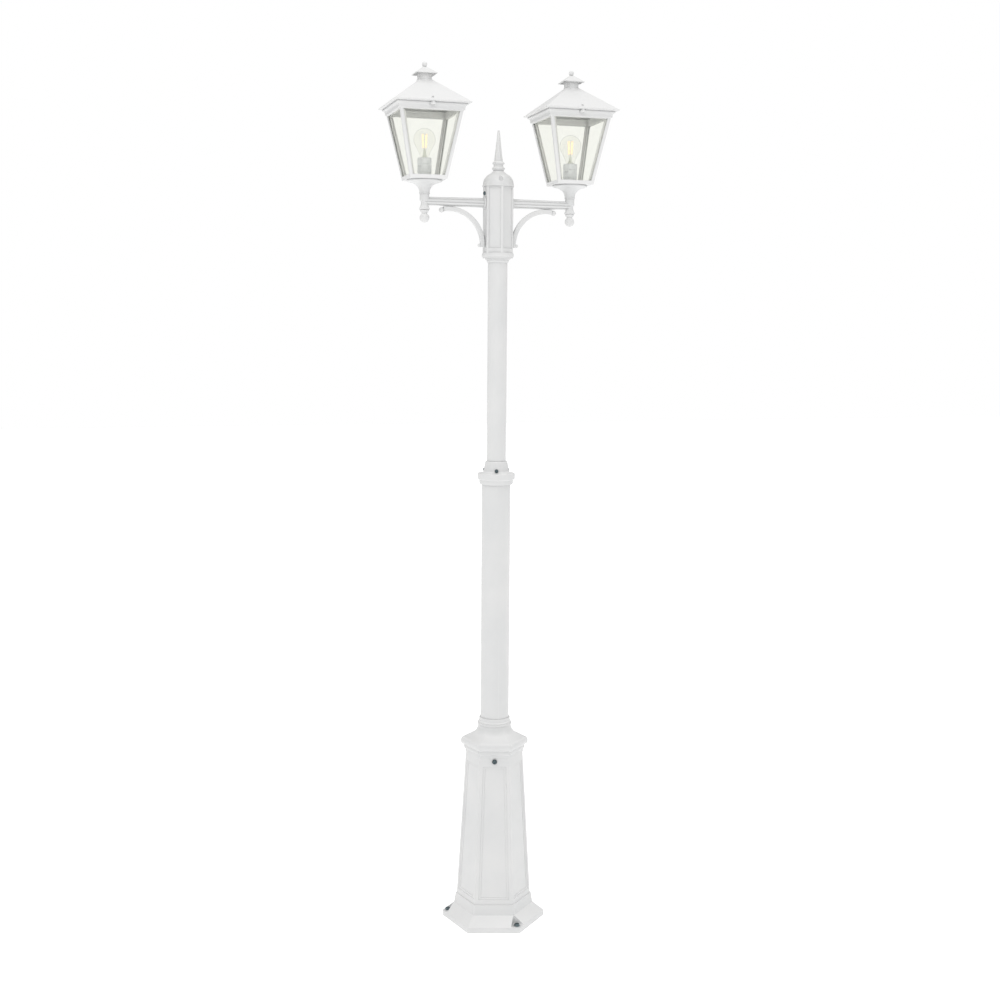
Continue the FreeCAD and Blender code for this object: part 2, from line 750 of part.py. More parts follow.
def dome_cap():
    z = hub_top + seat_gap
    r = hub_corner + dome_over
    top = z + dome_rise
    neck = dome_neck_radius
    body = turned([
        (0, z), (r, z), (r, z + dome_lip), (r - 1.4, z + dome_lip + 1),
        (r * 0.83, z + dome_rise * 0.47, r * 0.56, z + dome_rise * 0.8),
        (neck + 3.0, top - 4.4, neck, top - 1.5), (neck, top), (0, top)])
    inner_r = hub_corner * COS30 - hub_wall - 2
    hollow = turned([(0, z - 1), (inner_r, z - 1), (inner_r, z + 4),
                     (inner_r * 0.8, z + dome_rise * 0.47, spire_stud, z + dome_rise * 0.68),
                     (0, z + dome_rise * 0.68)])
    body = body.cut(hollow)
    body = body.cut(tube(spire_stud / 2 + hole_gap, 0, z, top))
    export("dome_cap", body)


def spire():
    z = hub_top + 2 * seat_gap + dome_rise
    body = turned([
        (0, z), (dome_neck_radius, z), (dome_neck_radius, z + 1.5),
        (spire_collar_radius, z + 5.5, dome_neck_radius + 0.4, z + 9.5),
        (spire_waist_radius, z + 12.5), (spire_waist_radius, z + 16),
        (spire_ring_radius - 0.8, z + 18.5),
        (spire_ring_radius, z + 20.5, spire_ring_radius - 1.5, z + 22.5),
        (spire_corner * COS30, z + 26), (0, z + 26)])
    top = z + spire_rise
    blade = loft(hub_plan(spire_corner, z + 24), hub_plan(spire_tip, top - 2.5))
    tip = loft(hub_plan(spire_tip, top - 2.5), hub_plan(spire_tip * 0.45, top))
    stud_foot = bridge_z - hub_bridge_height / 2
    stud = tube(spire_stud / 2, 0, stud_foot, z + 1)
    export("spire", body.fuse(blade).fuse(tip).fuse(stud).removeSplitter())


# ---- arms --------------------------------------------------------------------
def arm_section(diameter, x):
    """Round bar section with six lengthwise grooves, in the plane at x."""
    radius = diameter / 2
    edges = []

    def at(angle, r):
        return Vector(x, r * math.cos(math.radians(angle)), arm_z + r * math.sin(math.radians(angle)))
    for start, stop in zip(arm_grooves, arm_grooves[1:] + (360 + arm_grooves[0],)):
        a = start + groove_half_angle
        b = stop - groove_half_angle
        edges.append(Part.LineSegment(at(start, radius - groove_depth), at(a, radius)).toShape())
        edges.append(Part.Arc(at(a, radius), at((a + b) / 2, radius), at(b, radius)).toShape())
        edges.append(Part.LineSegment(at(b, radius), at(stop, radius - groove_depth)).toShape())
    return Part.Wire(edges)


def lead_route(side, grow):
    """Solid along the lamp lead: out of the hub, along the arm and up the cup."""
    start = Vector(side * lead_start, 0, arm_z)
    knee = Vector(side * (arm_reach - lead_bend), 0, arm_z)
    turn = Vector(side * arm_reach, 0, arm_z + lead_bend)
    centre = Vector(knee.x, 0, arm_z + lead_bend)
    middle = centre + (Vector(side, 0, 0) - UP).normalize() * lead_bend
    top = Vector(side * arm_reach, 0, lead_top)
    path = Part.Wire([Part.LineSegment(start, knee).toShape(), Part.Arc(knee, middle, turn).toShape(),
                      Part.LineSegment(turn, top).toShape()])
    ring = Part.Wire([Part.Circle(start, AXIS_X, lead_diameter / 2 + grow).toShape()])
    return path.makePipeShell([ring], True, False)


def arm(side):
    inner_x = hub_face + rosette_thickness - 2
    outer_x = arm_reach
    bar = loft(arm_section(arm_diameter_hub, side * inner_x), arm_section(arm_diameter_end, side * outer_x))
    tenon = rod(tenon_diameter / 2, Vector(side * (hub_face - hub_wall - tenon_inside), 0, arm_z),
                Vector(side * (inner_x + 1), 0, arm_z))
    low = arm_z - boss_fall
    boss = turned([
        (0, low), (boss_bell_radius - 0.6, low), (boss_bell_radius, low + 1.5),
        (boss_bell_radius - 1.2, low + 5),
        (boss_waist_radius + 1.0, low + 14, boss_waist_radius, low + 21),
        (boss_radius, low + 24.5), (boss_radius, cup_low), (boss_spigot_radius, cup_low),
        (boss_spigot_radius, cup_low + boss_spigot_rise), (0, cup_low + boss_spigot_rise)], side * arm_reach)
    body = bar.fuse(tenon).fuse(boss)
    bore = rod(arm_bore / 2, Vector(0, 0, arm_z), Vector(side * (arm_reach - lead_bend), 0, arm_z))
    body = body.cut(bore).cut(lead_route(side, 0.6))
    body = body.cut(tube(scroll_screw / 2 + seat_gap, 0, arm_z - arm_diameter_hub,
                         arm_z - pin_drop + slip_gap, side * scroll_centre_x))
    body = body.cut(tube(stem_diameter / 2 + seat_gap, 0, arm_z + stem_start - slip_gap,
                         cup_low + boss_spigot_rise, side * arm_reach))
    body = body.cut(tube(arm_finial_stud / 2 + seat_gap, 0, low, low + 12, side * arm_reach))
    export("arm_" + side_name[side], body.removeSplitter())


def arm_fittings():
    rosettes = []
    nuts = []
    finials = []
    for side in (-1, 1):
        face = side * (hub_face + seat_gap)
        rim = rod(rosette_radius, Vector(face, 0, arm_z),
                  Vector(side * (hub_face + rosette_thickness * 0.55), 0, arm_z))
        step = rod(rosette_radius - 2, Vector(face, 0, arm_z),
                   Vector(side * (hub_face + rosette_thickness - 2 - seat_gap), 0, arm_z))
        hole = rod(tenon_diameter / 2 + seat_gap, Vector(0, 0, arm_z), Vector(side * arm_reach, 0, arm_z))
        rosettes.append(rim.fuse(step).cut(hole).removeSplitter())
        inside = hub_face - hub_wall - seat_gap
        nut = hex_prism(arm_nut_flats, arm_nut_height, Vector(side * (inside - arm_nut_height), 0, arm_z),
                        AXIS_X * side)
        nuts.append(nut.cut(hole))
        finials.append(arm_finial(side * arm_reach))
    export("arm_rosettes", *rosettes)
    export("arm_nuts", *nuts)
    export("arm_finials", *finials)


def arm_finial(x):
    top = arm_z - boss_fall - seat_gap
    centre = arm_z - arm_finial_drop + arm_finial_ball
    r = arm_finial_ball
    neck = 7.4
    meet = math.sqrt(r * r - neck * neck)
    return turned([
        (0, centre - r), (pole_flat, centre - r), (r, centre, neck, centre + meet),
        (neck, centre + meet + 1.5), (11.2, top - 4.5), (11.9, top - 3), (11.9, top - 0.6), (11.3, top),
        (arm_finial_stud / 2, top), (arm_finial_stud / 2, top + 11), (0, top + 11)], x)


def scroll_bracket(side):
    """Quarter-round band from the hub's side to the arm's underside, with ball ends."""
    centre = Vector(side * scroll_centre_x, 0, scroll_centre_z)
    inner = scroll_radius - scroll_band / 2
    outer = scroll_radius + scroll_band / 2
    half = scroll_depth / 2

    def at(angle, r):
        turn = math.radians(angle)
        return centre + Vector(-side * r * math.cos(turn), 0, r * math.sin(turn))
    low = -scroll_under
    high = 90 + scroll_over
    mid = (low + high) / 2
    face = Part.Face(Part.Wire([
        Part.Arc(at(low, outer), at(mid, outer), at(high, outer)).toShape(),
        Part.LineSegment(at(high, outer), at(high, inner)).toShape(),
        Part.Arc(at(high, inner), at(mid, inner), at(low, inner)).toShape(),
        Part.LineSegment(at(low, inner), at(low, outer)).toShape()]))
    band = face.extrude(AXIS_Y * scroll_depth)
    band.translate(Vector(0, -half, 0))
    long_edges = [e for e in band.Edges
                  if e.Length > scroll_radius and abs(abs(e.CenterOfMass.y) - half) < 0.1]
    band = band.makeFillet(scroll_band * 0.22, long_edges)
    high_ball = ball(scroll_ball_high, at(high + scroll_ball_on, scroll_radius - 1.5))
    low_ball = ball(scroll_ball_low, at(low + 2.5, inner - scroll_ball_low + 2.6))
    hole = rod(scroll_screw / 2 + seat_gap, Vector(0, 0, scroll_screw_z),
               Vector(side * (hub_face + scroll_band * 0.75), 0, scroll_screw_z))
    pin_foot = centre.z + outer - scroll_band * 0.7
    pin = tube(scroll_screw / 2 + seat_gap, 0, pin_foot, centre.z + outer + 1, centre.x)
    export("scroll_bracket_" + side_name[side], band.fuse(high_ball).fuse(low_ball).cut(hole).cut(pin))


def bracket_screws():
    """One screw per bracket, from inside the hub."""
    screws = []
    for side in (-1, 1):
        inside = hub_face - hub_wall - seat_gap
        screws.append(button_screw(9.0, scroll_screw, hub_wall + scroll_band * 0.7,
                                   Vector(side * inside, 0, scroll_screw_z), AXIS_X * -side))
    export("bracket_screws", *screws)


def bracket_pins():
    """Dowel between each bracket's highest point and the arm's underside."""
    pins = [tube(scroll_screw / 2, 0, scroll_centre_z + scroll_radius, arm_z - pin_drop,
                 side * scroll_centre_x) for side in (-1, 1)]
    export("bracket_pins", *pins)


# ---- cups and stems ----------------------------------------------------------
def cup(side):
    z = cup_low + seat_gap
    top = tray_z - seat_gap
    r = cup_disc_radius
    body = turned([
        (0, z), (boss_radius, z), (cup_ring_radius, z + 1.2), (cup_ring_radius, z + 3.2),
        (boss_radius + 0.8, z + 4.4),
        (r * 0.43, z + cup_rise * 0.56, r - 0.8, top - cup_disc_edge),
        (r, top - cup_disc_edge + 1.2), (r, top - 0.8), (r - 0.8, top), (0, top)], side * arm_reach)
    body = body.cut(tube(boss_spigot_radius + seat_gap, 0, z, cup_low + boss_spigot_rise + seat_gap,
                         side * arm_reach))
    body = body.cut(tube(stem_diameter / 2 + seat_gap, 0, z, top, side * arm_reach))
    export("cup_" + side_name[side], body)


def stems():
    tubes = []
    nuts = []
    for side in (-1, 1):
        x = side * arm_reach
        tubes.append(tube(stem_diameter / 2, stem_bore / 2, arm_z + stem_start, lead_top, x))
        seat = tray_z + tray_floor + seat_gap
        nut = hex_prism(locknut_flats, locknut_height - 2 * seat_gap, Vector(x, 0, seat))
        nuts.append(nut.cut(tube(stem_diameter / 2 + seat_gap, 0, seat, seat + locknut_height, x)))
    export("stem_tubes", *tubes)
    export("stem_locknuts", *nuts)


# ---- lantern frame and glass -------------------------------------------------
def slanted_bar(points, x, z_low, z_high):
    """Extrudes a corner section, given at z_low, along the frame's corner line."""
    rise = z_high - z_low
    slope = (frame_half - tray_half) / frame_rise
    face = Part.Face(polygon(points))
    bar = face.extrude(Vector(-slope * rise, -slope * rise, rise))
    return [moved(rotated(bar, 90 * k), x=x) for k in range(4)]


def corner_angle(outer, leg, wall, z):
    """Angle section with its outer corner at (-outer, -outer)."""
    a = -outer
    return [Vector(a, a, z), Vector(a + leg, a, z), Vector(a + leg, a + wall, z),
            Vector(a + wall, a + wall, z), Vector(a + wall, a + leg, z), Vector(a, a + leg, z)]


def lantern_frame(side):
    x = side * arm_reach
    rail_top = tray_z + tray_rail
    floor = tray_z + tray_floor
    tray = square_frustum(half_at(tray_z), tray_z, half_at(rail_top), rail_top, x)
    tray = tray.cut(square_frustum(half_at(floor) - post_wall, floor,
                                   half_at(rail_top) - post_wall, rail_top, x))
    posts = slanted_bar(corner_angle(half_at(rail_top) - 0.01, post_leg, post_wall, rail_top - 2), x,
                        rail_top - 2, frame_top + 1)
    cornice = stacked([(frame_half, frame_top), (cornice_foot_half, frame_top + 2.5),
                       (cornice_foot_half + 3.2, cornice_top - cornice_fillet),
                       (cornice_top_half, cornice_top)], "square", x)
    cornice = cornice.cut(square_frustum(cornice_opening, frame_top, cornice_opening, cornice_top, x))
    body = tray.multiFuse(posts + [cornice])
    for ear in (-1, 1):
        body = body.fuse(hinge_ear(x + ear * ear_spread / 2))
    body = body.fuse(thumb_lug(x))
    body = body.cut(tube(stem_diameter / 2 + seat_gap, 0, tray_z, floor, x))
    drain_spot = Vector(tray_half * 0.72, tray_half * 0.72, tray_z)
    drain = Part.makeCylinder(drain_diameter / 2, tray_floor, drain_spot)
    for k in range(4):
        body = body.cut(moved(rotated(drain, 90 * k), x=x))
    export("lantern_frame_" + side_name[side], body.removeSplitter())


def hinge_ear(x):
    z = hinge_z
    ear = rod(ear_radius, Vector(x - ear_thickness / 2, -hinge_out, z),
              Vector(x + ear_thickness / 2, -hinge_out, z))
    web = box(x - ear_thickness / 2, x + ear_thickness / 2, -hinge_out, -cornice_foot_half,
              z - ear_radius, z + ear_radius)
    hole = rod(hinge_pin / 2 + seat_gap / 2, Vector(x - ear_thickness, -hinge_out, z),
               Vector(x + ear_thickness, -hinge_out, z))
    return ear.fuse(web).cut(hole)


def thumb_lug(x):
    half = lug_size / 2
    top = cornice_top
    lug = box(x - half, x + half, cornice_foot_half, thumb_out, top - lug_thickness, top)
    lug = lug.fuse(Part.makeCylinder(half, lug_thickness, Vector(x, thumb_out, top - lug_thickness)))
    lug = lug.common(box(x - half, x + half, 0, eave_half - 0.5, top - lug_thickness, top))
    return lug.cut(Part.makeCylinder(thumb_shank / 2 + hole_gap, lug_thickness,
                                     Vector(x, thumb_out, top - lug_thickness)))


def panes(side):
    x = side * arm_reach
    low = tray_z + tray_floor + seat_gap
    high = frame_top - seat_gap
    inset = post_wall + seat_gap

    def section(z):
        y = -(half_at(z) - inset)
        half = half_at(z) - pane_edge_gap
        return polygon([Vector(-half, y, z), Vector(half, y, z), Vector(half, y + pane_thickness, z),
                        Vector(-half, y + pane_thickness, z)])
    pane = loft(section(low), section(high))
    solids = [moved(rotated(pane, 90 * k), x=x) for k in range(4)]
    export("panes_" + side_name[side], *solids)


def glazing_strips():
    """Angle strips in the lantern corners that hold the panes against the posts."""
    inset = post_wall + pane_thickness + 2 * seat_gap
    low = tray_z + tray_floor + seat_gap
    high = frame_top - seat_gap
    strips = []
    for side in (-1, 1):
        section = corner_angle(half_at(low) - inset, strip_leg, strip_wall, low)
        strips += slanted_bar(section, side * arm_reach, low, high)
    export("glazing_strips", *strips)


# ---- roof --------------------------------------------------------------------
def roof_height(half):
    """Height of the roof's outer slope at a distance from the lantern's axis."""
    return roof_seat + lip_rise + (lip_half - half) * roof_pitch


def roof(side):
    x = side * arm_reach
    tip = roof_seat + eave_chamfer
    top_half = chimney_radius * 0.6
    outer = stacked([(eave_half - eave_soffit, roof_seat), (eave_half, tip), (eave_half, tip + eave_edge),
                     (lip_half, roof_height(lip_half)), (top_half, roof_height(top_half))], "square", x)
    drop = roof_wall * math.sqrt(1 + roof_pitch * roof_pitch)
    inner_top = roof_height(top_half) - drop
    hollow = stacked([(roof_rim_inner, roof_seat - 1), (roof_rim_inner, roof_height(roof_rim_inner) - drop),
                      (top_half, inner_top)], "square", x)
    collar_low_z = roof_height(chimney_radius) - chimney_inserted
    collar = tube(chimney_radius + 3.0, 0, collar_low_z, roof_height(chimney_radius) + 1, x)
    body = outer.cut(hollow.cut(collar))
    neck = chimney_radius + seat_gap
    body = body.cut(Part.makeCylinder(neck, chimney_top - roof_seat, Vector(x, 0, roof_seat)))
    half = leaf_size / 2 + seat_gap
    body = body.cut(box(x - half, x + half, -(hinge_out + 3.6), -(hinge_out - leaf_size + 3.6 - seat_gap),
                        roof_seat - 1, roof_seat + leaf_thickness + seat_gap))
    body = body.cut(Part.makeCylinder(rivet_head / 4 + seat_gap, 40, Vector(x, rivet_y, roof_seat)))
    shank_hole = Part.makeCylinder(thumb_shank / 2 + running_gap, 40, Vector(x, thumb_out, roof_seat - 1))
    body = body.cut(shank_hole)
    flat = Part.makeCylinder(thumb_head_radius + 0.6, 40, Vector(x, thumb_out, thumb_seat))
    body = body.cut(flat)
    export("roof_" + side_name[side], body.removeSplitter())


def hinge_leaf(side):
    """Leaf riveted under the roof's front lip, with the knuckle that turns on the pin."""
    x = side * arm_reach
    half = leaf_size / 2
    z = hinge_z
    plate = box(x - half, x + half, -(hinge_out + 3.3), -(hinge_out - leaf_size + 3.6), roof_seat,
                roof_seat + leaf_thickness)
    knuckle_half = ear_spread / 2 - ear_thickness / 2 - slip_gap
    knuckle = rod(ear_radius - 0.4, Vector(x - knuckle_half, -hinge_out, z),
                  Vector(x + knuckle_half, -hinge_out, z))
    web = box(x - knuckle_half, x + knuckle_half, -(hinge_out + ear_radius - 0.6), -(hinge_out - 1.2),
              z, roof_seat + leaf_thickness / 2)
    knuckle = knuckle.common(box(x - leaf_size, x + leaf_size, -(hinge_out + 9), -(hinge_out - 2.6),
                                 z - 9, z + 9))
    body = plate.fuse(knuckle).fuse(web)
    top = roof_height(-rivet_y) + rivet_head / 2 * roof_pitch + seat_gap
    rivet = turned([(0, roof_seat + 1), (rivet_head / 4, roof_seat + 1), (rivet_head / 4, top),
                    (rivet_head / 2, top), (rivet_head * 0.38, top + 1.1, pole_flat, top + 1.6),
                    (0, top + 1.6)])
    body = body.fuse(moved(rivet, x, rivet_y))
    pin_hole = rod(hinge_pin / 2 + running_gap, Vector(x - leaf_size, -hinge_out, z),
                   Vector(x + leaf_size, -hinge_out, z))
    export("hinge_leaf_" + side_name[side], body.cut(pin_hole).removeSplitter())


def hinge_pins():
    z = hinge_z
    reach = ear_spread / 2 + ear_thickness / 2 + 0.8
    pins = [rod(hinge_pin / 2, Vector(side * arm_reach - reach, -hinge_out, z),
                Vector(side * arm_reach + reach, -hinge_out, z)) for side in (-1, 1)]
    export("hinge_pins", *pins)


def chimney(side):
    x = side * arm_reach
    low = roof_height(chimney_radius) - chimney_inserted
    body = tube(chimney_radius, chimney_radius - chimney_wall, low, chimney_top, x)
    bar = box(x - chimney_radius, x + chimney_radius, -chimney_bar / 2, chimney_bar / 2,
              chimney_top - 5, chimney_top).common(tube(chimney_radius, 0, low, chimney_top, x))
    body = body.fuse(bar).cut(tube(ball_stud / 2 + seat_gap, 0, chimney_top - 6, chimney_top, x))
    export("chimney_" + side_name[side], body.removeSplitter())


def chimney_cap(side):
    x = side * arm_reach
    low = cap_low
    peak = low + cap_edge + cap_rise
    outer = stacked([(cap_half, low), (cap_half, low + cap_edge), (ball_neck_radius, peak)], "square", x)
    inner = square_frustum(cap_half - cap_wall, low - 0.5, cap_seat_half, chimney_top + seat_gap, x)
    body = outer.cut(inner)
    body = body.cut(tube(ball_stud / 2 + hole_gap, 0, low, peak, x))
    export("chimney_cap_" + side_name[side], body.removeSplitter())


def ball_finial(side):
    peak = cap_low + cap_edge + cap_rise + seat_gap
    centre = chimney_top + ball_rise - ball_radius
    r = ball_radius
    neck = ball_neck_radius
    meet = centre - math.sqrt(r * r - neck * neck)
    body = turned([
        (0, chimney_top - 5), (ball_stud / 2, chimney_top - 5), (ball_stud / 2, peak), (neck + 1.6, peak),
        (neck, peak + 1.6), (neck, meet), (r, centre, pole_flat, centre + r), (0, centre + r)],
        side * arm_reach)
    export("ball_finial_" + side_name[side], body)


def thumb_screw(side):
    """Captive thumb screw at the back of the roof."""
    z = thumb_seat + slip_gap
    r = thumb_head_radius
    head = turned([(0, z), (r - 1, z), (r, z + 1), (r, z + thumb_head_height - 1),
                   (r - 1, z + thumb_head_height), (0, z + thumb_head_height)])
    for k in range(18):
        notch = Part.makeCylinder(0.7, thumb_head_height, Vector(r + 0.25, 0, z))
        head = head.cut(rotated(notch, 20 * k))
    shank = Part.makeCylinder(thumb_shank / 2, z - roof_seat + thumb_engage,
                              Vector(0, 0, roof_seat - thumb_engage))
    body = head.fuse(shank)
    export("thumb_screw_" + side_name[side], moved(body, x=side * arm_reach, y=thumb_out))


# ---- lamp holder and lamp ----------------------------------------------------
def lamp_holder(side):
    x = side * arm_reach
    z = lamp_seat
    top = z + holder_rise
    body = turned([(0, z), (holder_radius - 1, z), (holder_radius, z + 1), (holder_radius, top - 1),
                   (holder_radius - 1, top), (0, top)], x)
    body = body.cut(tube(lamp_cap_radius + slip_gap + 0.1, 0, z + holder_floor, top, x))
    body = body.cut(tube(stem_diameter / 2 + seat_gap, 0, z, lead_top + seat_gap, x))
    body = body.cut(tube(lead_diameter / 2 + 0.6, 0, z, lead_top + 2, x))
    groove = tube(holder_radius + 1, holder_radius - 0.8, top - 18, top - 16.5, x)
    export("lamp_holder_" + side_name[side], body.cut(groove))


def lamp(side):
    x = side * arm_reach
    foot = lamp_seat + holder_floor + slip_gap
    cap_top = foot + lamp_cap_rise
    r = lamp_cap_radius
    steps = [(0, foot), (4.5, foot), (5.5, foot + 2), (r - 2, foot + 4)]
    z = foot + 5
    while z + 3.6 < cap_top - 3:
        steps += [(r, z + 0.9), (r, z + 1.5), (r - 0.9, z + 2.7), (r - 0.9, z + 3.3)]
        z += 3.6
    steps += [(r, cap_top - 2), (r, cap_top), (0, cap_top)]
    export("lamp_cap_" + side_name[side], turned(steps, x))
    top = foot + lamp_rise
    centre = top - lamp_radius
    neck = r - 1.6

    def outline(inset):
        big = lamp_radius - inset
        slim = neck - inset
        start = cap_top + seat_gap + inset
        shoulder = math.radians(-38)
        join = (big * math.cos(shoulder), centre + big * math.sin(shoulder))
        waist = (slim + (join[0] - slim) * 0.36, start + (join[1] - start) * 0.62)
        return [(0, start), (slim, start), (slim, start + 2), (waist[0], waist[1], join[0], join[1]),
                (big, centre, pole_flat, centre + big), (0, centre + big)]
    glass = turned(outline(0), x).cut(turned(outline(lamp_glass), x))
    export("lamp_glass_" + side_name[side], glass)
    stem_low = cap_top + 2 * seat_gap + lamp_glass
    stem_top = centre - filament_rise / 2 - 2
    stem = turned([(0, stem_low), (neck - 2.5, stem_low), (lamp_stem_radius, stem_low + 8),
                   (lamp_stem_radius * 0.6, stem_top), (0, stem_top)], x)
    hub_disc = tube(filament_ring * 0.5, 0, stem_top - 1, stem_top + 1.4, x)
    rods = []
    for k in range(filament_count):
        angle = math.radians(45 + 90 * k)
        low = Vector(x + 3.0 * math.cos(angle), 3.0 * math.sin(angle), stem_top + 1)
        high = Vector(x + filament_ring * math.cos(angle), filament_ring * math.sin(angle),
                      stem_top + filament_rise)
        rods.append(rod(filament_radius, low, high))
    mast = rod(0.8, Vector(x, 0, stem_top), Vector(x, 0, stem_top + filament_rise))
    spokes = [rod(0.6, Vector(x, 0, stem_top + filament_rise - 1),
                  Vector(x + filament_ring * math.cos(math.radians(45 + 90 * k)),
                         filament_ring * math.sin(math.radians(45 + 90 * k)), stem_top + filament_rise - 1))
              for k in range(filament_count)]
    export("lamp_filament_" + side_name[side], stem.multiFuse([hub_disc, mast] + rods + spokes))


# ---- wiring ------------------------------------------------------------------
def wiring():
    bridge_top = shaft_top - crown_spigot_depth + bridge_thickness + seat_gap
    block = box(-terminal_length / 2, terminal_length / 2, -terminal_width / 2, terminal_width / 2,
                bridge_top, bridge_top + terminal_height)
    export("terminal_block", rotated(block, base_turn))
    hub_block_top = arm_z + hub_block_height / 2
    hub_block_low = arm_z - hub_block_height / 2
    export("hub_connector", box(-hub_block_length / 2, hub_block_length / 2, -hub_block_width / 2,
                                hub_block_width / 2, hub_block_low, hub_block_top))
    export("pole_cable", tube(cable_diameter / 2, 0, bridge_top + terminal_height + seat_gap,
                              hub_block_low - slip_gap))
    for side in (-1, 1):
        export("lamp_lead_" + side_name[side], lead_route(side, 0))


# ---- whole post --------------------------------------------------------------
os.makedirs("parts", exist_ok=True)
base_casting()
anchors()
base_crown()
crown_screws()
lower_pole()
pole_collar()
collar_screws()
upper_pole()
guide_bush()
hub_ring()
hub_body()
hub_bridge()
hub_screws()
dome_cap()
spire()
arm_fittings()
bracket_screws()
bracket_pins()
stems()
glazing_strips()
hinge_pins()
wiring()
for lantern_side in (-1, 1):
    arm(lantern_side)
    scroll_bracket(lantern_side)
    cup(lantern_side)
    lantern_frame(lantern_side)
    panes(lantern_side)
    roof(lantern_side)
    hinge_leaf(lantern_side)
    chimney(lantern_side)
    chimney_cap(lantern_side)
    ball_finial(lantern_side)
    thumb_screw(lantern_side)
    lamp_holder(lantern_side)
    lamp(lantern_side)
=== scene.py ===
import json
import math

import bpy
from mathutils import Matrix, Vector


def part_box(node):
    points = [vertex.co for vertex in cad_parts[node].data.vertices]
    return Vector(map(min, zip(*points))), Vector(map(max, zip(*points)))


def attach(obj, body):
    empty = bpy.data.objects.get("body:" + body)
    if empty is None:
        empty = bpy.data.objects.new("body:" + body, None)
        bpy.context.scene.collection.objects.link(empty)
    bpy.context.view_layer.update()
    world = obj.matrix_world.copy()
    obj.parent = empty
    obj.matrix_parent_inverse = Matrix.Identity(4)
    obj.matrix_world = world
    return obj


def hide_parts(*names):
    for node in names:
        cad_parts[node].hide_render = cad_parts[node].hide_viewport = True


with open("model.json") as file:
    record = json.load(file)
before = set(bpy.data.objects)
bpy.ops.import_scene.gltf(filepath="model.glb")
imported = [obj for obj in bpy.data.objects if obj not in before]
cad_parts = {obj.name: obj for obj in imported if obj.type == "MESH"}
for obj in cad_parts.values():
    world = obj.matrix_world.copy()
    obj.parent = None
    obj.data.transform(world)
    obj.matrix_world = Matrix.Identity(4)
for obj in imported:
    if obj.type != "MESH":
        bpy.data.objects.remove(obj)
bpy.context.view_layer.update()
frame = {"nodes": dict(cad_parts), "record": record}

bl_info = {
    "name": "Twin-lantern lamp post",
    "version": (1, 0, 0),
    "blender": (4, 5, 0),
    "location": "3D View > Sidebar > Lamp post",
    "description": "Finished pieces and coatings for a two-armed lamp post with glazed lanterns",
    "category": "Object",
}

# Lengths below are millimetres, as on a workshop drawing. MM turns them into metres
# when a mesh is made. Heights and reaches come from the frame's own nodes.
MM = 0.001
ROUND = 64
SLIM_ROUND = 32
POLE = 0.004            # radius of a ring that closes up into a point
DOUBLED = 0.01          # points nearer than this are one
COS30 = math.cos(math.radians(30))


def span(node):
    """Lowest and highest corner of a frame node, in millimetres."""
    low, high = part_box(node)
    return low / MM, high / MM


def middle(node):
    low, high = span(node)
    return (low + high) / 2


def heights(node):
    low, high = span(node)
    return low.z, high.z


def half_width(node):
    low, high = span(node)
    return (high.x - low.x) / 2


# ---- sizes and colours that a user would change ------------------------------
def length(name, description, default):
    return bpy.props.FloatProperty(name=name, description=description, default=default * MM,
                                   unit="LENGTH", min=0.0, precision=4)


def angle(name, description, degrees):
    return bpy.props.FloatProperty(name=name, description=description, default=math.radians(degrees),
                                   unit="ROTATION")


def colour(name, description, default):
    return bpy.props.FloatVectorProperty(name=name, description=description, default=default,
                                         size=3, min=0.0, max=1.0, subtype="COLOR")


class LampPostSizes(bpy.types.PropertyGroup):
    base_turn: angle("Base turn", "How far the base stands turned from the arms", -15.4)
    cast_easing: length("Cast edge", "Rounding of the edges of a coated casting", 1.4)
    fine_easing: length("Fine edge", "Rounding of thin mouldings and sheet edges", 0.6)
    panel_margin: length("Panel margin", "Flat border round each sunk panel of the base", 8.0)
    panel_bevel: length("Panel bevel", "Width of the bevel that sinks a base panel", 5.0)
    panel_depth: length("Panel depth", "How deep a base panel lies", 3.0)
    groove_depth: length("Groove depth", "Depth of the grooves along the arms", 1.7)
    scroll_band: length("Scroll band", "Width of a scroll bracket's band", 13.0)
    scroll_depth: length("Scroll depth", "Thickness of a scroll bracket's band", 12.0)
    glass_wall: length("Lamp glass", "Wall of the lamp's glass", 0.9)


class LampPostColours(bpy.types.PropertyGroup):
    coat: colour("Coat", "White powder coat", (0.64, 0.64, 0.637))
    # This darker coat colour also gives the painted shade in creases, grooves and under rims (white_coat).
    coat_dark_tone_and_painted_shade: colour("Coat shade", "Powder coat where it lies thicker", (0.60, 0.605, 0.605))
    fixings: colour("Fixings", "Dark passivated screws and bolts", (0.10, 0.13, 0.14))
    zinc: colour("Zinc", "Bright zinc on nuts, stems and pins", (0.60, 0.61, 0.62))
    glass: colour("Glass", "Clear pane glass", (0.985, 0.986, 0.968))
    holder: colour("Holder", "Lamp holder", (0.70, 0.71, 0.73))
    filament: colour("Filament", "Warm filament strips", (1.0, 0.76, 0.50))
    floor: colour("Floor", "Pale studio floor", (0.90, 0.90, 0.90))


class LampPostStudio(bpy.types.PropertyGroup):
    distance: length("Camera distance", "Level distance from the post's axis", 3849.0)
    height: length("Camera height", "Height of the lens over the ground", 1676.0)
    heading: angle("Camera heading", "Camera's place round the post", -16.39)
    pan: angle("Camera pan", "Camera's aim beside the post's axis", -0.164)
    tilt: angle("Camera tilt", "How far the camera looks down", 7.0)
    roll: angle("Camera roll", "Turn about the line of sight", 0.43)
    lens: bpy.props.FloatProperty(name="Lens", description="Focal length", default=50.28,
                                  unit="CAMERA", min=1.0)


def sizes():
    return bpy.context.scene.lamp_post_sizes


def colours():
    return bpy.context.scene.lamp_post_colours


def mm(value):
    """A stored size, which is in metres, as millimetres."""
    return value / MM


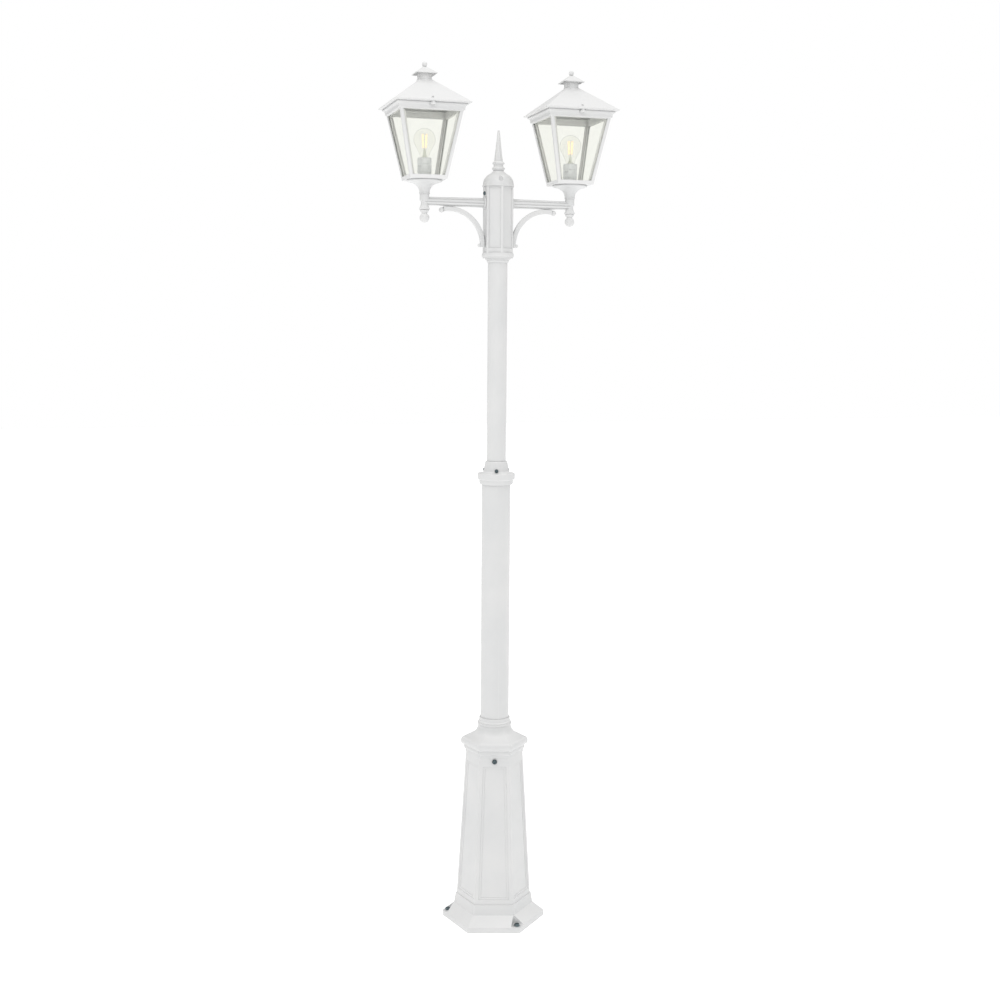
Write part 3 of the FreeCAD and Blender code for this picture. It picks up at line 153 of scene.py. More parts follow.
# ---- outlines ----------------------------------------------------------------
def swept(start, pull, end, steps=8):
    """Points of a curve from start to end, drawn towards pull. Start is left out."""
    points = []
    for k in range(1, steps + 1):
        t = k / steps
        points.append(tuple((1 - t) ** 2 * a + 2 * t * (1 - t) * b + t * t * c
                            for a, b, c in zip(start, pull, end)))
    return points


def bowed(outline, pull, end, steps=8):
    """An outline with a curve added from its last point."""
    return outline + swept(outline[-1], pull, end, steps)


def tube(radius, wall, low, high, easing):
    """Outline of an upright tube, closed round its wall."""
    inner = radius - wall
    return eased([(inner, low), (radius, low), (radius, high), (inner, high), (inner, low)], easing)


def dome_points(radius, centre, start, end, steps=16):
    """Points of a ball's outline between two angles above its middle, in degrees."""
    points = []
    for k in range(steps + 1):
        turn = math.radians(start + (end - start) * k / steps)
        points.append((radius * math.cos(turn), centre + radius * math.sin(turn)))
    return points


def eased(outline, radius, steps=3):
    """Rounds the corners of an outline, each within its own two runs."""
    hollow = outline[0] == outline[-1]
    points = [Vector(p) for p in (outline[:-1] if hollow else outline)]
    made = []
    for k, here in enumerate(points):
        before = points[k - 1]
        after = points[(k + 1) % len(points)]
        at_end = not hollow and k in (0, len(points) - 1)
        if at_end or (here - before).angle(after - here) < math.radians(14):
            made.append(tuple(here))
            continue
        back = before - here
        ahead = after - here
        start = here + back.normalized() * min(radius, back.length * 0.4)
        end = here + ahead.normalized() * min(radius, ahead.length * 0.4)
        made += [tuple(start)] + swept(start, here, end, steps)
    return made + [made[0]] if hollow else made


# ---- drawing pieces ----------------------------------------------------------
def deselect():
    if bpy.context.object and bpy.context.object.mode != "OBJECT":
        bpy.ops.object.mode_set(mode="OBJECT")
    bpy.ops.object.select_all(action="DESELECT")


def work_on(piece):
    deselect()
    piece.select_set(True)
    bpy.context.view_layer.objects.active = piece


def named(name):
    """Names the new primitive, takes its place into its mesh and opens it for editing."""
    piece = bpy.context.object
    piece.name = name
    piece.data.name = name
    bpy.ops.object.transform_apply(location=True, rotation=True, scale=True)
    bpy.ops.object.mode_set(mode="EDIT")
    bpy.ops.mesh.select_all(action="SELECT")
    return piece


def closed_up(piece):
    """Merges doubled points, turns the faces outwards and leaves edit mode."""
    bpy.ops.mesh.select_all(action="SELECT")
    bpy.ops.mesh.remove_doubles(threshold=DOUBLED * MM)
    bpy.ops.mesh.normals_make_consistent(inside=False)
    bpy.ops.object.mode_set(mode="OBJECT")
    return piece


def ring(name, sides, radius, z, turn=0.0, corner=0.0):
    """A flat face with the given sides, in edit mode, its corners rounded by corner."""
    deselect()
    bpy.ops.mesh.primitive_circle_add(vertices=sides, radius=radius * MM, fill_type="NGON",
                                      location=(0, 0, z * MM), rotation=(0, 0, turn))
    piece = named(name)
    if corner:
        bpy.ops.mesh.bevel(offset=corner * MM, segments=3, affect="VERTICES")
        bpy.ops.mesh.select_all(action="SELECT")
    return piece


def pulled(x, y, z):
    """Extrudes what is selected."""
    bpy.ops.mesh.extrude_region_move(TRANSFORM_OT_translate={"value": (x * MM, y * MM, z * MM)})


def widened(share, z=0.0):
    """Scales what is selected about the upright axis."""
    bpy.ops.transform.resize(value=(share, share, 1), center_override=(0, 0, z * MM))


def draw_up(outline):
    """Extrudes the selected ring through the points of an outline of (radius, height)."""
    radius, height = outline[0]
    for wide, high in outline[1:]:
        pulled(0, 0, high - height)
        widened(wide / radius, high)
        radius = wide
        height = high


def turned(name, outline, sides=ROUND, x=0.0, turn=0.0, corner=0.0):
    """A piece drawn up through an outline, which comes back to its start if it is hollow."""
    outline = [(max(radius, POLE), z) for radius, z in outline]
    piece = ring(name, sides, outline[0][0], outline[0][1], turn, corner)
    if outline[0] == outline[-1]:
        bpy.ops.mesh.delete(type="ONLY_FACE")
        bpy.ops.mesh.select_all(action="SELECT")
    draw_up(outline)
    closed_up(piece)
    return laid(piece, (x, 0, 0)) if x else piece


def square_piece(name, outline, x, corner):
    """Drawn up with a square plan. The outline gives half sides."""
    root = math.sqrt(2)
    return turned(name, [(half * root, z) for half, z in outline], 4, x, math.radians(45), corner)


def rod(name, radius, start, end, sides):
    """A round bar between two points, with eased ends."""
    start = Vector(start)
    run = Vector(end) - start
    ease = radius * 0.25
    outline = [(radius - ease, 0), (radius, ease), (radius, run.length - ease), (radius - ease, run.length)]
    return laid(turned(name, outline, sides), start, run)


def laid(piece, place, direction=(0, 0, 1), spin=0.0):
    """Stands a piece that was drawn at the origin on place, pointing along direction."""
    turn = Vector((0, 0, 1)).rotation_difference(Vector(direction).normalized())
    return moved(piece, Matrix.Translation(Vector(place) * MM) @ turn.to_matrix().to_4x4()
                 @ Matrix.Rotation(spin, 4, "Z"))


def pick(piece, kind, wanted):
    """Opens a piece for editing with only the wanted points, edges or faces selected."""
    work_on(piece)
    bpy.ops.object.mode_set(mode="EDIT")
    bpy.ops.mesh.select_mode(type=kind)
    bpy.ops.mesh.select_all(action="DESELECT")
    bpy.ops.object.mode_set(mode="OBJECT")
    parts = {"VERT": piece.data.vertices, "EDGE": piece.data.edges, "FACE": piece.data.polygons}[kind]
    for part in parts:
        part.select = wanted(part)
    if not any(part.select for part in parts):
        raise RuntimeError("nothing to work on in " + piece.name)
    bpy.ops.object.mode_set(mode="EDIT")


def done(piece):
    bpy.ops.mesh.select_mode(type="VERT")
    bpy.ops.object.mode_set(mode="OBJECT")
    return piece


def sunk_panels(piece, wanted, steps):
    """Insets the wanted faces. Each step says how far in and how far down."""
    pick(piece, "FACE", wanted)
    for wide, deep in steps:
        bpy.ops.mesh.inset(thickness=wide * MM, depth=-deep * MM, use_individual=True)
    return done(piece)


def copied(piece, name):
    """A copy with a mesh of its own."""
    copy = piece.copy()
    copy.data = piece.data.copy()
    copy.name = name
    bpy.context.scene.collection.objects.link(copy)
    return copy


def joined(pieces, name):
    work_on(pieces[0])
    for piece in pieces[1:]:
        piece.select_set(True)
    bpy.ops.object.join()
    pieces[0].name = name
    pieces[0].data.name = name
    return pieces[0]


def applied(piece, kind, **settings):
    """Adds a modifier and applies it."""
    work_on(piece)
    modifier = piece.modifiers.new(kind.title(), kind)
    for setting, value in settings.items():
        setattr(modifier, setting, value)
    bpy.ops.object.modifier_apply(modifier=modifier.name)
    return piece


def combined(piece, other, operation):
    """Cuts, joins or crosses two solids, and removes the second."""
    applied(piece, "BOOLEAN", operation=operation, object=other, solver="EXACT")
    bpy.data.objects.remove(other)
    return piece


def softened(piece, width, segments=2):
    return applied(piece, "BEVEL", width=width * MM, segments=segments, limit_method="ANGLE",
                   angle_limit=math.radians(30), miter_outer="MITER_ARC")


def block(name, place, size, easing, segments=2, turn=0.0):
    """A box with eased edges, its middle at place."""
    deselect()
    bpy.ops.mesh.primitive_cube_add(size=1.0, location=Vector(place) * MM, rotation=(0, 0, turn))
    bpy.context.object.scale = Vector(size) * MM
    piece = named(name)
    bpy.ops.object.mode_set(mode="OBJECT")
    return softened(piece, easing, segments)


def level(heading):
    """The level direction at a heading, in radians."""
    return Vector((math.cos(heading), math.sin(heading), 0))


def mirrored(piece, name):
    """The same piece on the other side of the post."""
    copy = copied(piece, name)
    work_on(copy)
    bpy.ops.object.mode_set(mode="EDIT")
    bpy.ops.mesh.select_all(action="SELECT")
    bpy.ops.transform.resize(value=(-1, 1, 1), center_override=(0, 0, 0))
    bpy.ops.mesh.normals_make_consistent(inside=False)
    bpy.ops.object.mode_set(mode="OBJECT")
    return copy


def moved(piece, shift):
    """Moves or turns a finished mesh and takes the change into its points."""
    work_on(piece)
    piece.matrix_world = shift
    bpy.ops.object.transform_apply(location=True, rotation=True, scale=True)
    return piece


def shown(piece, body, slot, *nodes, smooth=32):
    """Gives a finished piece its shading, coating and body, in place of its frame nodes."""
    work_on(piece)
    bpy.ops.object.shade_smooth_by_angle(angle=math.radians(smooth))
    applied(piece, "WEIGHTED_NORMAL", keep_sharp=True)
    if slot not in [m.name for m in piece.data.materials if m]:
        piece.data.materials.clear()
        piece.data.materials.append(bpy.data.materials[slot])
    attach(piece, body)
    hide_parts(*nodes)
    return piece


def shown_pair(left, right, node, body, slot, smooth):
    """Shows a left and a right piece. A body whose name ends in _ has one of each too."""
    for side, piece in (("left", left), ("right", right)):
        piece.name = node + "_" + side + "_finished"
        rider = body + side if body.endswith("_") else body
        shown(piece, rider, slot, node + "_" + side, smooth=smooth)


# ---- coatings ----------------------------------------------------------------
class Coating:
    """A node material under construction: one Principled shader and Object coordinates."""

    def __init__(self, name, **values):
        plain = bpy.data.materials.get(name)
        if plain:
            plain.name = name + "_plain"
        self.material = bpy.data.materials.new(name)
        self.material.use_nodes = True
        self.tree = self.material.node_tree
        self.shader = next(n for n in self.tree.nodes if n.type == "BSDF_PRINCIPLED")
        self.place = self.tree.nodes.new("ShaderNodeTexCoord").outputs["Object"]
        for socket, value in values.items():
            self.set(socket.replace("_", " ").title().replace("Ior", "IOR"), value)

    def set(self, socket, value):
        self.shader.inputs[socket].default_value = value

    def link(self, source, target):
        self.tree.links.new(source, target)

    def noise(self, scale, detail=3.0, roughness=0.5, stretch=None):
        node = self.tree.nodes.new("ShaderNodeTexNoise")
        node.inputs["Scale"].default_value = scale
        node.inputs["Detail"].default_value = detail
        node.inputs["Roughness"].default_value = roughness
        source = self.place
        if stretch:
            mapping = self.tree.nodes.new("ShaderNodeMapping")
            mapping.inputs["Scale"].default_value = stretch
            self.link(self.place, mapping.inputs["Vector"])
            source = mapping.outputs["Vector"]
        self.link(source, node.inputs["Vector"])
        return node.outputs["Fac"]

    def banded(self, source, low, high, out_low=0.0, out_high=1.0):
        node = self.tree.nodes.new("ShaderNodeMapRange")
        ends = {"From Min": low, "From Max": high, "To Min": out_low, "To Max": out_high}
        for socket, value in ends.items():
            node.inputs[socket].default_value = value
        self.link(source, node.inputs["Value"])
        return node.outputs["Result"]

    def mixed(self, share, first, second):
        """A colour between two colours or colour sockets."""
        node = self.tree.nodes.new("ShaderNodeMix")
        node.data_type = "RGBA"
        self.link(share, node.inputs["Factor"])
        for socket, value in (("A", first), ("B", second)):
            target = [i for i in node.inputs if i.name == socket and i.type == "RGBA"][0]
            if hasattr(value, "links"):
                self.link(value, target)
            else:
                target.default_value = (*value, 1.0)
        return [o for o in node.outputs if o.type == "RGBA"][0]

    def bump(self, height, strength, distance, under=None):
        node = self.tree.nodes.new("ShaderNodeBump")
        node.inputs["Strength"].default_value = strength
        node.inputs["Distance"].default_value = distance * MM
        self.link(height, node.inputs["Height"])
        if under:
            self.link(under, node.inputs["Normal"])
        return node.outputs["Normal"]

    def edges(self, low, high):
        """Near 1 on outward edges and near 0 in corners."""
        source = self.tree.nodes.new("ShaderNodeNewGeometry").outputs["Pointiness"]
        return self.banded(source, low, high)

    def upward(self, low, high):
        """Near 1 on faces that look up in the piece's own space."""
        split = self.tree.nodes.new("ShaderNodeSeparateXYZ")
        self.link(self.place.node.outputs["Normal"], split.inputs[0])
        return self.banded(split.outputs["Z"], low, high)

    def creases(self, reach):
        """Near 0 where another face stands within reach, as in grooves and under rims."""
        node = self.tree.nodes.new("ShaderNodeAmbientOcclusion")
        node.samples = 6
        node.inputs["Distance"].default_value = reach * MM
        return self.banded(node.outputs["AO"], 0.30, 0.90)

    def seen_through(self, tint, share):
        """Mixes the shader with a clear one, so that only a share of it shows."""
        clear = self.tree.nodes.new("ShaderNodeBsdfTransparent")
        clear.inputs["Color"].default_value = (*tint, 1.0)
        mix = self.tree.nodes.new("ShaderNodeMixShader")
        self.link(share, mix.inputs[0])
        self.link(clear.outputs[0], mix.inputs[1])
        self.link(self.shader.outputs[0], mix.inputs[2])
        end = next(n for n in self.tree.nodes if n.type == "OUTPUT_MATERIAL")
        self.link(mix.outputs[0], end.inputs["Surface"])

    def feed(self, socket, source):
        self.link(source, self.shader.inputs[socket])


def shaded(rgb, share):
    return tuple(c * share for c in rgb)


def white_coat():
    """Powder coat: thick and thin patches, orange peel, painted highlight on faces that look up, painted
    shade in creases and corners, painted highlight on outward edges.
    """
    c = colours()
    coat = Coating("white_coat", specular_ior_level=0.35, coat_weight=0.06, coat_roughness=0.22)
    patches = coat.banded(coat.noise(7.0, 4.0), 0.35, 0.65)
    body = coat.mixed(patches, c.coat, c.coat_dark_tone_and_painted_shade)
    # Painted highlight: faces that look up are lighter, as if lit from above.
    body = coat.mixed(coat.upward(0.25, 0.70), body, shaded(c.coat, 1.11))
    specks = coat.banded(coat.noise(420.0, 2.0), 0.70, 0.78, 0.0, 0.35)
    body = coat.mixed(specks, body, shaded(c.coat_dark_tone_and_painted_shade, 0.90))
    # Painted shade: creases, grooves, pockets and spots under rims are darkened, standing in for ambient
    # occlusion.
    body = coat.mixed(coat.creases(4.0), shaded(c.coat_dark_tone_and_painted_shade, 0.77), body)
    # Painted highlight: outward edges are lighter.
    body = coat.mixed(coat.edges(0.56, 0.66), body, shaded(c.coat, 1.05))
    coat.feed("Base Color", body)
    coat.feed("Roughness", coat.banded(coat.noise(35.0, 5.0), 0.3, 0.7, 0.34, 0.50))
    peel = coat.bump(coat.noise(900.0, 2.0), 0.10, 0.25)
    coat.feed("Normal", coat.bump(coat.noise(60.0, 3.0), 0.05, 1.2, peel))


def metal(name, rgb, rough, grain, brushed=None):
    """Metal with handling marks: tone patches, a fine grain and brighter edges."""
    steel = Coating(name, metallic=1.0)
    tone = steel.banded(steel.noise(160.0, 5.0, 0.6), 0.35, 0.65)
    body = steel.mixed(tone, shaded(rgb, 0.75), rgb)
    body = steel.mixed(steel.edges(0.52, 0.58), body, shaded(rgb, 1.25))
    steel.feed("Base Color", body)
    steel.feed("Roughness", steel.banded(steel.noise(300.0, 3.0), 0.3, 0.7, rough, rough + 0.15))
    steel.feed("Normal", steel.bump(steel.noise(grain, 3.0, 0.6, brushed), 0.25, 0.05))


def moulded(name, rgb, rough, grain, gloss_coat=0.0):
    """Moulded plastic, glaze or rubber: slight tone drift, fine texture, dull patches."""
    plastic = Coating(name, coat_weight=gloss_coat)
    tone = plastic.banded(plastic.noise(90.0, 4.0), 0.3, 0.7)
    plastic.feed("Base Color", plastic.mixed(tone, shaded(rgb, 0.90), rgb))
    plastic.feed("Roughness", plastic.banded(plastic.noise(220.0, 3.0), 0.3, 0.7, rough, rough + 0.12))
    plastic.feed("Normal", plastic.bump(plastic.noise(grain, 2.0), 0.15, 0.08))


def clear_glass(name, tint, dust_and_rim_shade, dust, rim_shade_share):
    """Clear glass with a faint film of dust, and a painted darker rim where it is seen edge on, in place of
    refraction and reflection.
    """
    glass = Coating(name, specular_ior_level=0.9)
    film = glass.banded(glass.noise(30.0, 5.0, 0.6), 0.45, 0.75)
    glass.feed("Base Color", glass.mixed(film, dust_and_rim_shade, shaded(dust_and_rim_shade, 0.92)))
    glass.feed("Roughness", glass.banded(film, 0.0, 1.0, 0.03, 0.10))
    glass.feed("Normal", glass.bump(glass.noise(14.0, 1.0), 0.04, 0.6))
    facing = glass.tree.nodes.new("ShaderNodeLayerWeight")
    facing.inputs["Blend"].default_value = 0.35
    # Painted shade: the glass turns greyer where it is seen edge on, standing in for refraction and
    # reflection.
    edge = glass.banded(facing.outputs["Facing"], 0.60, 1.0, 0.0, rim_shade_share)
    share = glass.tree.nodes.new("ShaderNodeMath")
    share.operation = "ADD"
    glass.link(edge, share.inputs[0])
    glass.link(glass.banded(film, 0.0, 1.0, dust * 0.5, dust), share.inputs[1])
    glass.seen_through(tint, share.outputs[0])


def warm_filament():
    """Phosphor strips, warm and softly lit, a little uneven along their length."""
    c = colours()
    strip = Coating("filament", roughness=0.4, emission_strength=0.6)
    strip.set("Emission Color", (*c.filament, 1.0))
    tone = strip.banded(strip.noise(400.0, 3.0), 0.35, 0.65)
    strip.feed("Base Color", strip.mixed(tone, shaded(c.filament, 0.85), c.filament))
    strip.feed("Normal", strip.bump(strip.noise(1500.0, 2.0), 0.2, 0.05))


class LAMP_POST_OT_coatings(bpy.types.Operator):
    """Make the coatings and give each frame node that stays its own"""
    bl_idname = "lamp_post.coatings"
    bl_label = "Coatings"

    def execute(self, context):
        c = colours()
        white_coat()
        metal("dark_fixings", tuple(c.fixings), 0.28, 900.0)
        metal("zinc_steel", tuple(c.zinc), 0.25, 700.0, (1, 1, 12))
        metal("bare_aluminium", (0.70, 0.71, 0.72), 0.42, 1400.0)
        metal("lamp_cap_metal", (0.74, 0.74, 0.73), 0.2, 600.0, (1, 1, 10))
        moulded("holder_ceramic", tuple(c.holder), 0.3, 500.0, 0.3)
        moulded("black_plastic", (0.02, 0.02, 0.022), 0.45, 1200.0)
        moulded("terminal_plastic", (0.88, 0.88, 0.84), 0.4, 1000.0)
        moulded("stem_glass", (0.80, 0.82, 0.76), 0.12, 300.0, 0.5)
        moulded("cable_sheath", (0.025, 0.025, 0.025), 0.55, 1500.0)
        moulded("lead_sheath", (0.80, 0.80, 0.78), 0.5, 1500.0)
        # The rim colours and shares below paint a darker rim on the glass where it is seen edge on.
        clear_glass("lantern_glass", tuple(c.glass), (0.76, 0.81, 0.84), 0.050, 0.10)
        clear_glass("lamp_glass", (0.992, 0.992, 0.985), (0.60, 0.62, 0.58), 0.012, 0.60)
        warm_filament()
        slots = {part["node"]: part["material_slot"] for part in frame["record"]["subparts"]}
        for node, thing in frame["nodes"].items():
            thing.data.materials.clear()
            thing.data.materials.append(bpy.data.materials[slots[node]])
        return {"FINISHED"}


# ---- base --------------------------------------------------------------------
class LAMP_POST_OT_base(bpy.types.Operator):
    """Cast the hexagonal foot, plinth and shaft with its sunk panels and bolt pockets"""
    bl_idname = "lamp_post.base"
    bl_label = "Base casting"

    foot_edge = 15.0
    skirt_top = 40.0
    plinth_top = 68.0
    corners = {"skirt": 113.0, "plinth": 108.5, "shaft_low": 105.5, "shaft_high": 81.0}
    wall = 8.1
    low_margin = 14.0
    high_margin = 24.0
    pocket_corner = 110.9
    pocket_nose = 5.0

    def outline(self, foot, top):
        s = sizes()
        margin = mm(s.panel_margin)
        low, high = self.corners["shaft_low"], self.corners["shaft_high"]

        def shaft(z):
            return low + (high - low) * (z - self.plinth_top) / (top - self.plinth_top)
        panel_low = self.plinth_top + self.low_margin - margin
        panel_high = top - self.high_margin + margin
        outer = [(foot, 0.0), (foot, self.foot_edge), (self.corners["skirt"], self.skirt_top),
                 (self.corners["plinth"], self.plinth_top), (low, self.plinth_top)]
        outer = eased(outer + [(shaft(panel_low), panel_low)], mm(s.cast_easing))
        inner = [(shaft(panel_high), panel_high), (high, top), (high - self.wall, top),
                 (low - self.wall, self.plinth_top), (low - self.wall, 0.0)]
        return outer + inner + [outer[0]]

    def panels(self, casting):
        s = sizes()
        steps = ((mm(s.panel_margin) - 0.4, 0.0), (0.8, 1.4), (mm(s.panel_bevel), mm(s.panel_depth) - 2.6),
                 (0.8, 1.2), (0.6, 0.0))
        sunk_panels(casting, lambda face: face.area > 0.02 and face.normal.xy.dot(face.center.xy) > 0, steps)

    def pocket(self, heading):
        """Square cutter, edge on, for one bolt pocket in the skirt."""
        side = 60.0
        high = self.skirt_top + 4.0
        place = level(heading) * (self.pocket_corner + side / math.sqrt(2))
        place.z = (high + self.foot_edge) / 2
        return block("pocket_cutter", place, (side, side, high - self.foot_edge), self.pocket_nose, 5,
                     heading + math.radians(45))

    def execute(self, context):
        s = sizes()
        foot = half_width("base_casting") / math.cos(s.base_turn)
        casting = turned("base_casting_finished", self.outline(foot, heights("base_casting")[1]), 6,
                         turn=s.base_turn - math.radians(30), corner=2.2)
        self.panels(casting)
        for k in range(3):
            combined(casting, self.pocket(s.base_turn + math.radians(60 + 120 * k)), "DIFFERENCE")
        shown(casting, "post", "white_coat", "base_casting", smooth=28)
        return {"FINISHED"}


class LAMP_POST_OT_crown(bpy.types.Operator):
    """Mould the base's crown, hexagonal at its foot and round at its neck"""
    bl_idname = "lamp_post.crown"
    bl_label = "Base crown"

    per_side = 12
    corner = 80.0
    neck = 46.0
    first_round = 0.03      # share of roundness of the moulding over the shaft
    sweep_steps = 14

    def moulding(self, foot):
        """Radius at a corner and height, from the shaft up to the edge of the shoulder."""
        r = self.corner
        outline = eased([(r, foot), (r + 2.2, foot), (r + 2.2, foot + 8), (r + 6.3, foot + 12),
                         (r + 6.3, foot + 21)], 1.0)
        outline = bowed(outline, (r + 15.5, foot + 23), (r + 15.2, foot + 32), 6)
        return bowed(outline, (r + 15.0, foot + 41), (r + 9.5, foot + 44), 5)

    def lip(self, top):
        neck = self.neck
        return eased([(neck, top - 21), (neck + 2.2, top - 20), (neck + 2.2, top - 16.5),
                      (neck - 0.6, top - 15.5), (neck - 0.6, top - 13.5), (neck + 0.2, top - 12.5),
                      (neck - 3.0, top - 9), (neck - 2.6, top - 1), (neck - 3.6, top),
                      (neck - 5.7, top)], 0.8)

    def execute(self, context):
        s = sizes()
        foot = heights("base_casting")[1]
        top = heights("base_crown")[1]
        crown = ring("base_crown_finished", 6, self.corner, foot, turn=s.base_turn - math.radians(30))
        bpy.ops.mesh.subdivide(number_cuts=self.per_side - 1)
        bpy.ops.mesh.select_all(action="SELECT")
        flat = self.corner * COS30
        half = self.corner / 2
        mean_share = sum(math.hypot(flat, half - 2 * half * k / self.per_side)
                         for k in range(self.per_side)) / self.per_side / self.corner
        rings = [(r * mean_share, z, self.first_round) for r, z in self.moulding(foot)]
        shoulder = swept(rings[-1][:2], (self.neck, top - 50.5), (self.neck, top - 21), self.sweep_steps)
        for k, (r, z) in enumerate(shoulder):
            wanted = self.first_round + ((k + 1) / self.sweep_steps) ** 1.15
            rings.append((r, z, min(1.0, wanted)))
        rings += [(r, z, 1.0) for r, z in self.lip(top)[1:]]
        mean = self.corner * mean_share
        height = foot
        roundness = 0.0
        for r, z, wanted in rings:
            pulled(0, 0, z - height)
            widened(r / mean, z)
            if wanted > roundness:
                bpy.ops.transform.tosphere(value=(wanted - roundness) / (1 - roundness))
                roundness = wanted
            mean = r
            height = z
        closed_up(crown)
        shown(crown, "post", "white_coat", "base_crown", smooth=40)
        return {"FINISHED"}


# ---- screws and bolts --------------------------------------------------------
def button_screw(name, diameter, shank):
    """Domed socket screw, drawn at the origin with its head up."""
    r = diameter / 2
    high = diameter * 0.45
    head = turned(name, eased([(shank / 2, -6.0), (shank / 2, 0), (r, 0), (r, high * 0.22)], 0.3)
                  + swept((r, high * 0.22), (r * 0.86, high), (r * 0.42, high), 7) + [(0, high)], 48)
    socket = turned("socket_cutter", [(diameter * 0.22, high * 0.35), (diameter * 0.22, high * 2)], 6)
    return combined(head, socket, "DIFFERENCE")


class LAMP_POST_OT_screws(bpy.types.Operator):
    """Fit the clamp screws and the anchor bolts with their washers"""
    bl_idname = "lamp_post.screws"
    bl_label = "Screws and bolts"

    base_screw = (14.0, 8.0)
    pole_screw = (10.5, 6.0)
    crown_reach = 71.4
    collar_reach = 35.7
    collar_turn = -15.0
    bolt_flats = 13.0
    bolt_circle = 130.0

    def around(self, name, size, radius, z, first, count=3):
        screw = button_screw("screw_pattern", *size)
        made = []
        for k in range(count):
            heading = math.radians(-90 + first + 360 / count * k)
            out = level(heading)
            made.append(laid(copied(screw, name), out * radius + Vector((0, 0, z)), out))
        bpy.data.objects.remove(screw)
        return joined(made, name)

    def bolts(self, s):
        low, high = span("anchor_bolts")
        washer_low, washer_high = span("anchor_washers")
        z = washer_high.z
        flats = self.bolt_flats
        head = turned("bolt_pattern", [(flats / 2 / COS30, z), (flats / 2 / COS30, high.z)], 6)
        cone = eased([(3.9, z - 14), (3.9, z - 0.1), (flats * 0.56, z - 0.1), (flats * 0.60, high.z - 1.4),
                      (flats * 0.47, high.z), (flats * 0.3, high.z), (flats * 0.26, high.z - 0.5),
                      (0, high.z - 0.5)], 0.2)
        combined(head, turned("bolt_cone", cone, 36), "INTERSECT")
        shank = turned("bolt_shank", [(4.0, low.z), (4.0, z + 0.5)], 24)
        head = joined([head, shank], "bolt_pattern")
        washer = turned("washer_pattern", eased([(4.4, washer_low.z), (10.0, washer_low.z), (10.0, z),
                                                 (4.4, z), (4.4, washer_low.z)], 0.3), 40)
        bolts = []
        washers = []
        for k in range(3):
            place = level(s.base_turn + math.radians(60 + 120 * k)) * self.bolt_circle
            bolts.append(laid(copied(head, "bolt"), place, spin=0.4 + k))
            washers.append(laid(copied(washer, "washer"), place))
        bpy.data.objects.remove(head)
        bpy.data.objects.remove(washer)
        shown(joined(bolts, "anchor_bolts_finished"), "post", "dark_fixings", "anchor_bolts")
        shown(joined(washers, "anchor_washers_finished"), "post", "bare_aluminium", "anchor_washers")

    def execute(self, context):
        s = sizes()
        base = self.around("crown_screws_finished", self.base_screw, self.crown_reach,
                           middle("crown_screws").z, math.degrees(s.base_turn))
        shown(base, "post", "dark_fixings", "crown_screws")
        collar = self.around("collar_screws_finished", self.pole_screw, self.collar_reach,
                             middle("collar_screws").z, self.collar_turn)
        shown(collar, "post", "dark_fixings", "collar_screws")
        face = span("hub_body")[1].x
        hub = self.around("hub_screws_finished", self.pole_screw, face + 0.1, middle("hub_screws").z, 90, 2)
        shown(hub, "head", "dark_fixings", "hub_screws")
        self.bolts(s)
        return {"FINISHED"}


# ---- poles -------------------------------------------------------------------
class LAMP_POST_OT_poles(bpy.types.Operator):
    """Draw the two poles and turn the stepped collar between them"""
    bl_idname = "lamp_post.poles"
    bl_label = "Poles and collar"

    walls = {"lower_pole": 3.0, "upper_pole": 2.5}

    def execute(self, context):
        for node, body in (("lower_pole", "post"), ("upper_pole", "head")):
            outline = tube(half_width(node), self.walls[node], *heights(node), 0.5)
            shown(turned(node + "_finished", outline, 96), body, "white_coat", node)
        z, top = heights("pole_collar")
        ring_radius = span("pole_collar")[1].x
        lower = span("lower_pole")[1].x + 0.1
        upper = span("upper_pole")[1].x + 0.06
        outline = [(lower, z), (ring_radius - 8.2, z)]
        outline = bowed(outline, (ring_radius - 5.5, z + 0.4), (ring_radius - 5.5, z + 3.2), 5)
        outline += [(ring_radius - 4.4, z + 12.0), (ring_radius - 3.2, z + 13.0),
                    (ring_radius - 0.4, z + 15.4), (ring_radius, z + 17.5), (ring_radius, z + 30.0),
                    (ring_radius - 1.2, z + 31.0)]
        outline = bowed(outline, (upper + 7.4, z + 31.6), (upper + 8.0, z + 40.5), 8)
        outline += [(upper + 4.2, top - 1.6), (upper + 3.0, top), (upper, top), (upper, z + 22.0),
                    (lower, z + 22.0), (lower, z)]
        shown(turned("pole_collar_finished", eased(outline, mm(sizes().fine_easing)), 96),
              "post", "white_coat", "pole_collar")
        return {"FINISHED"}


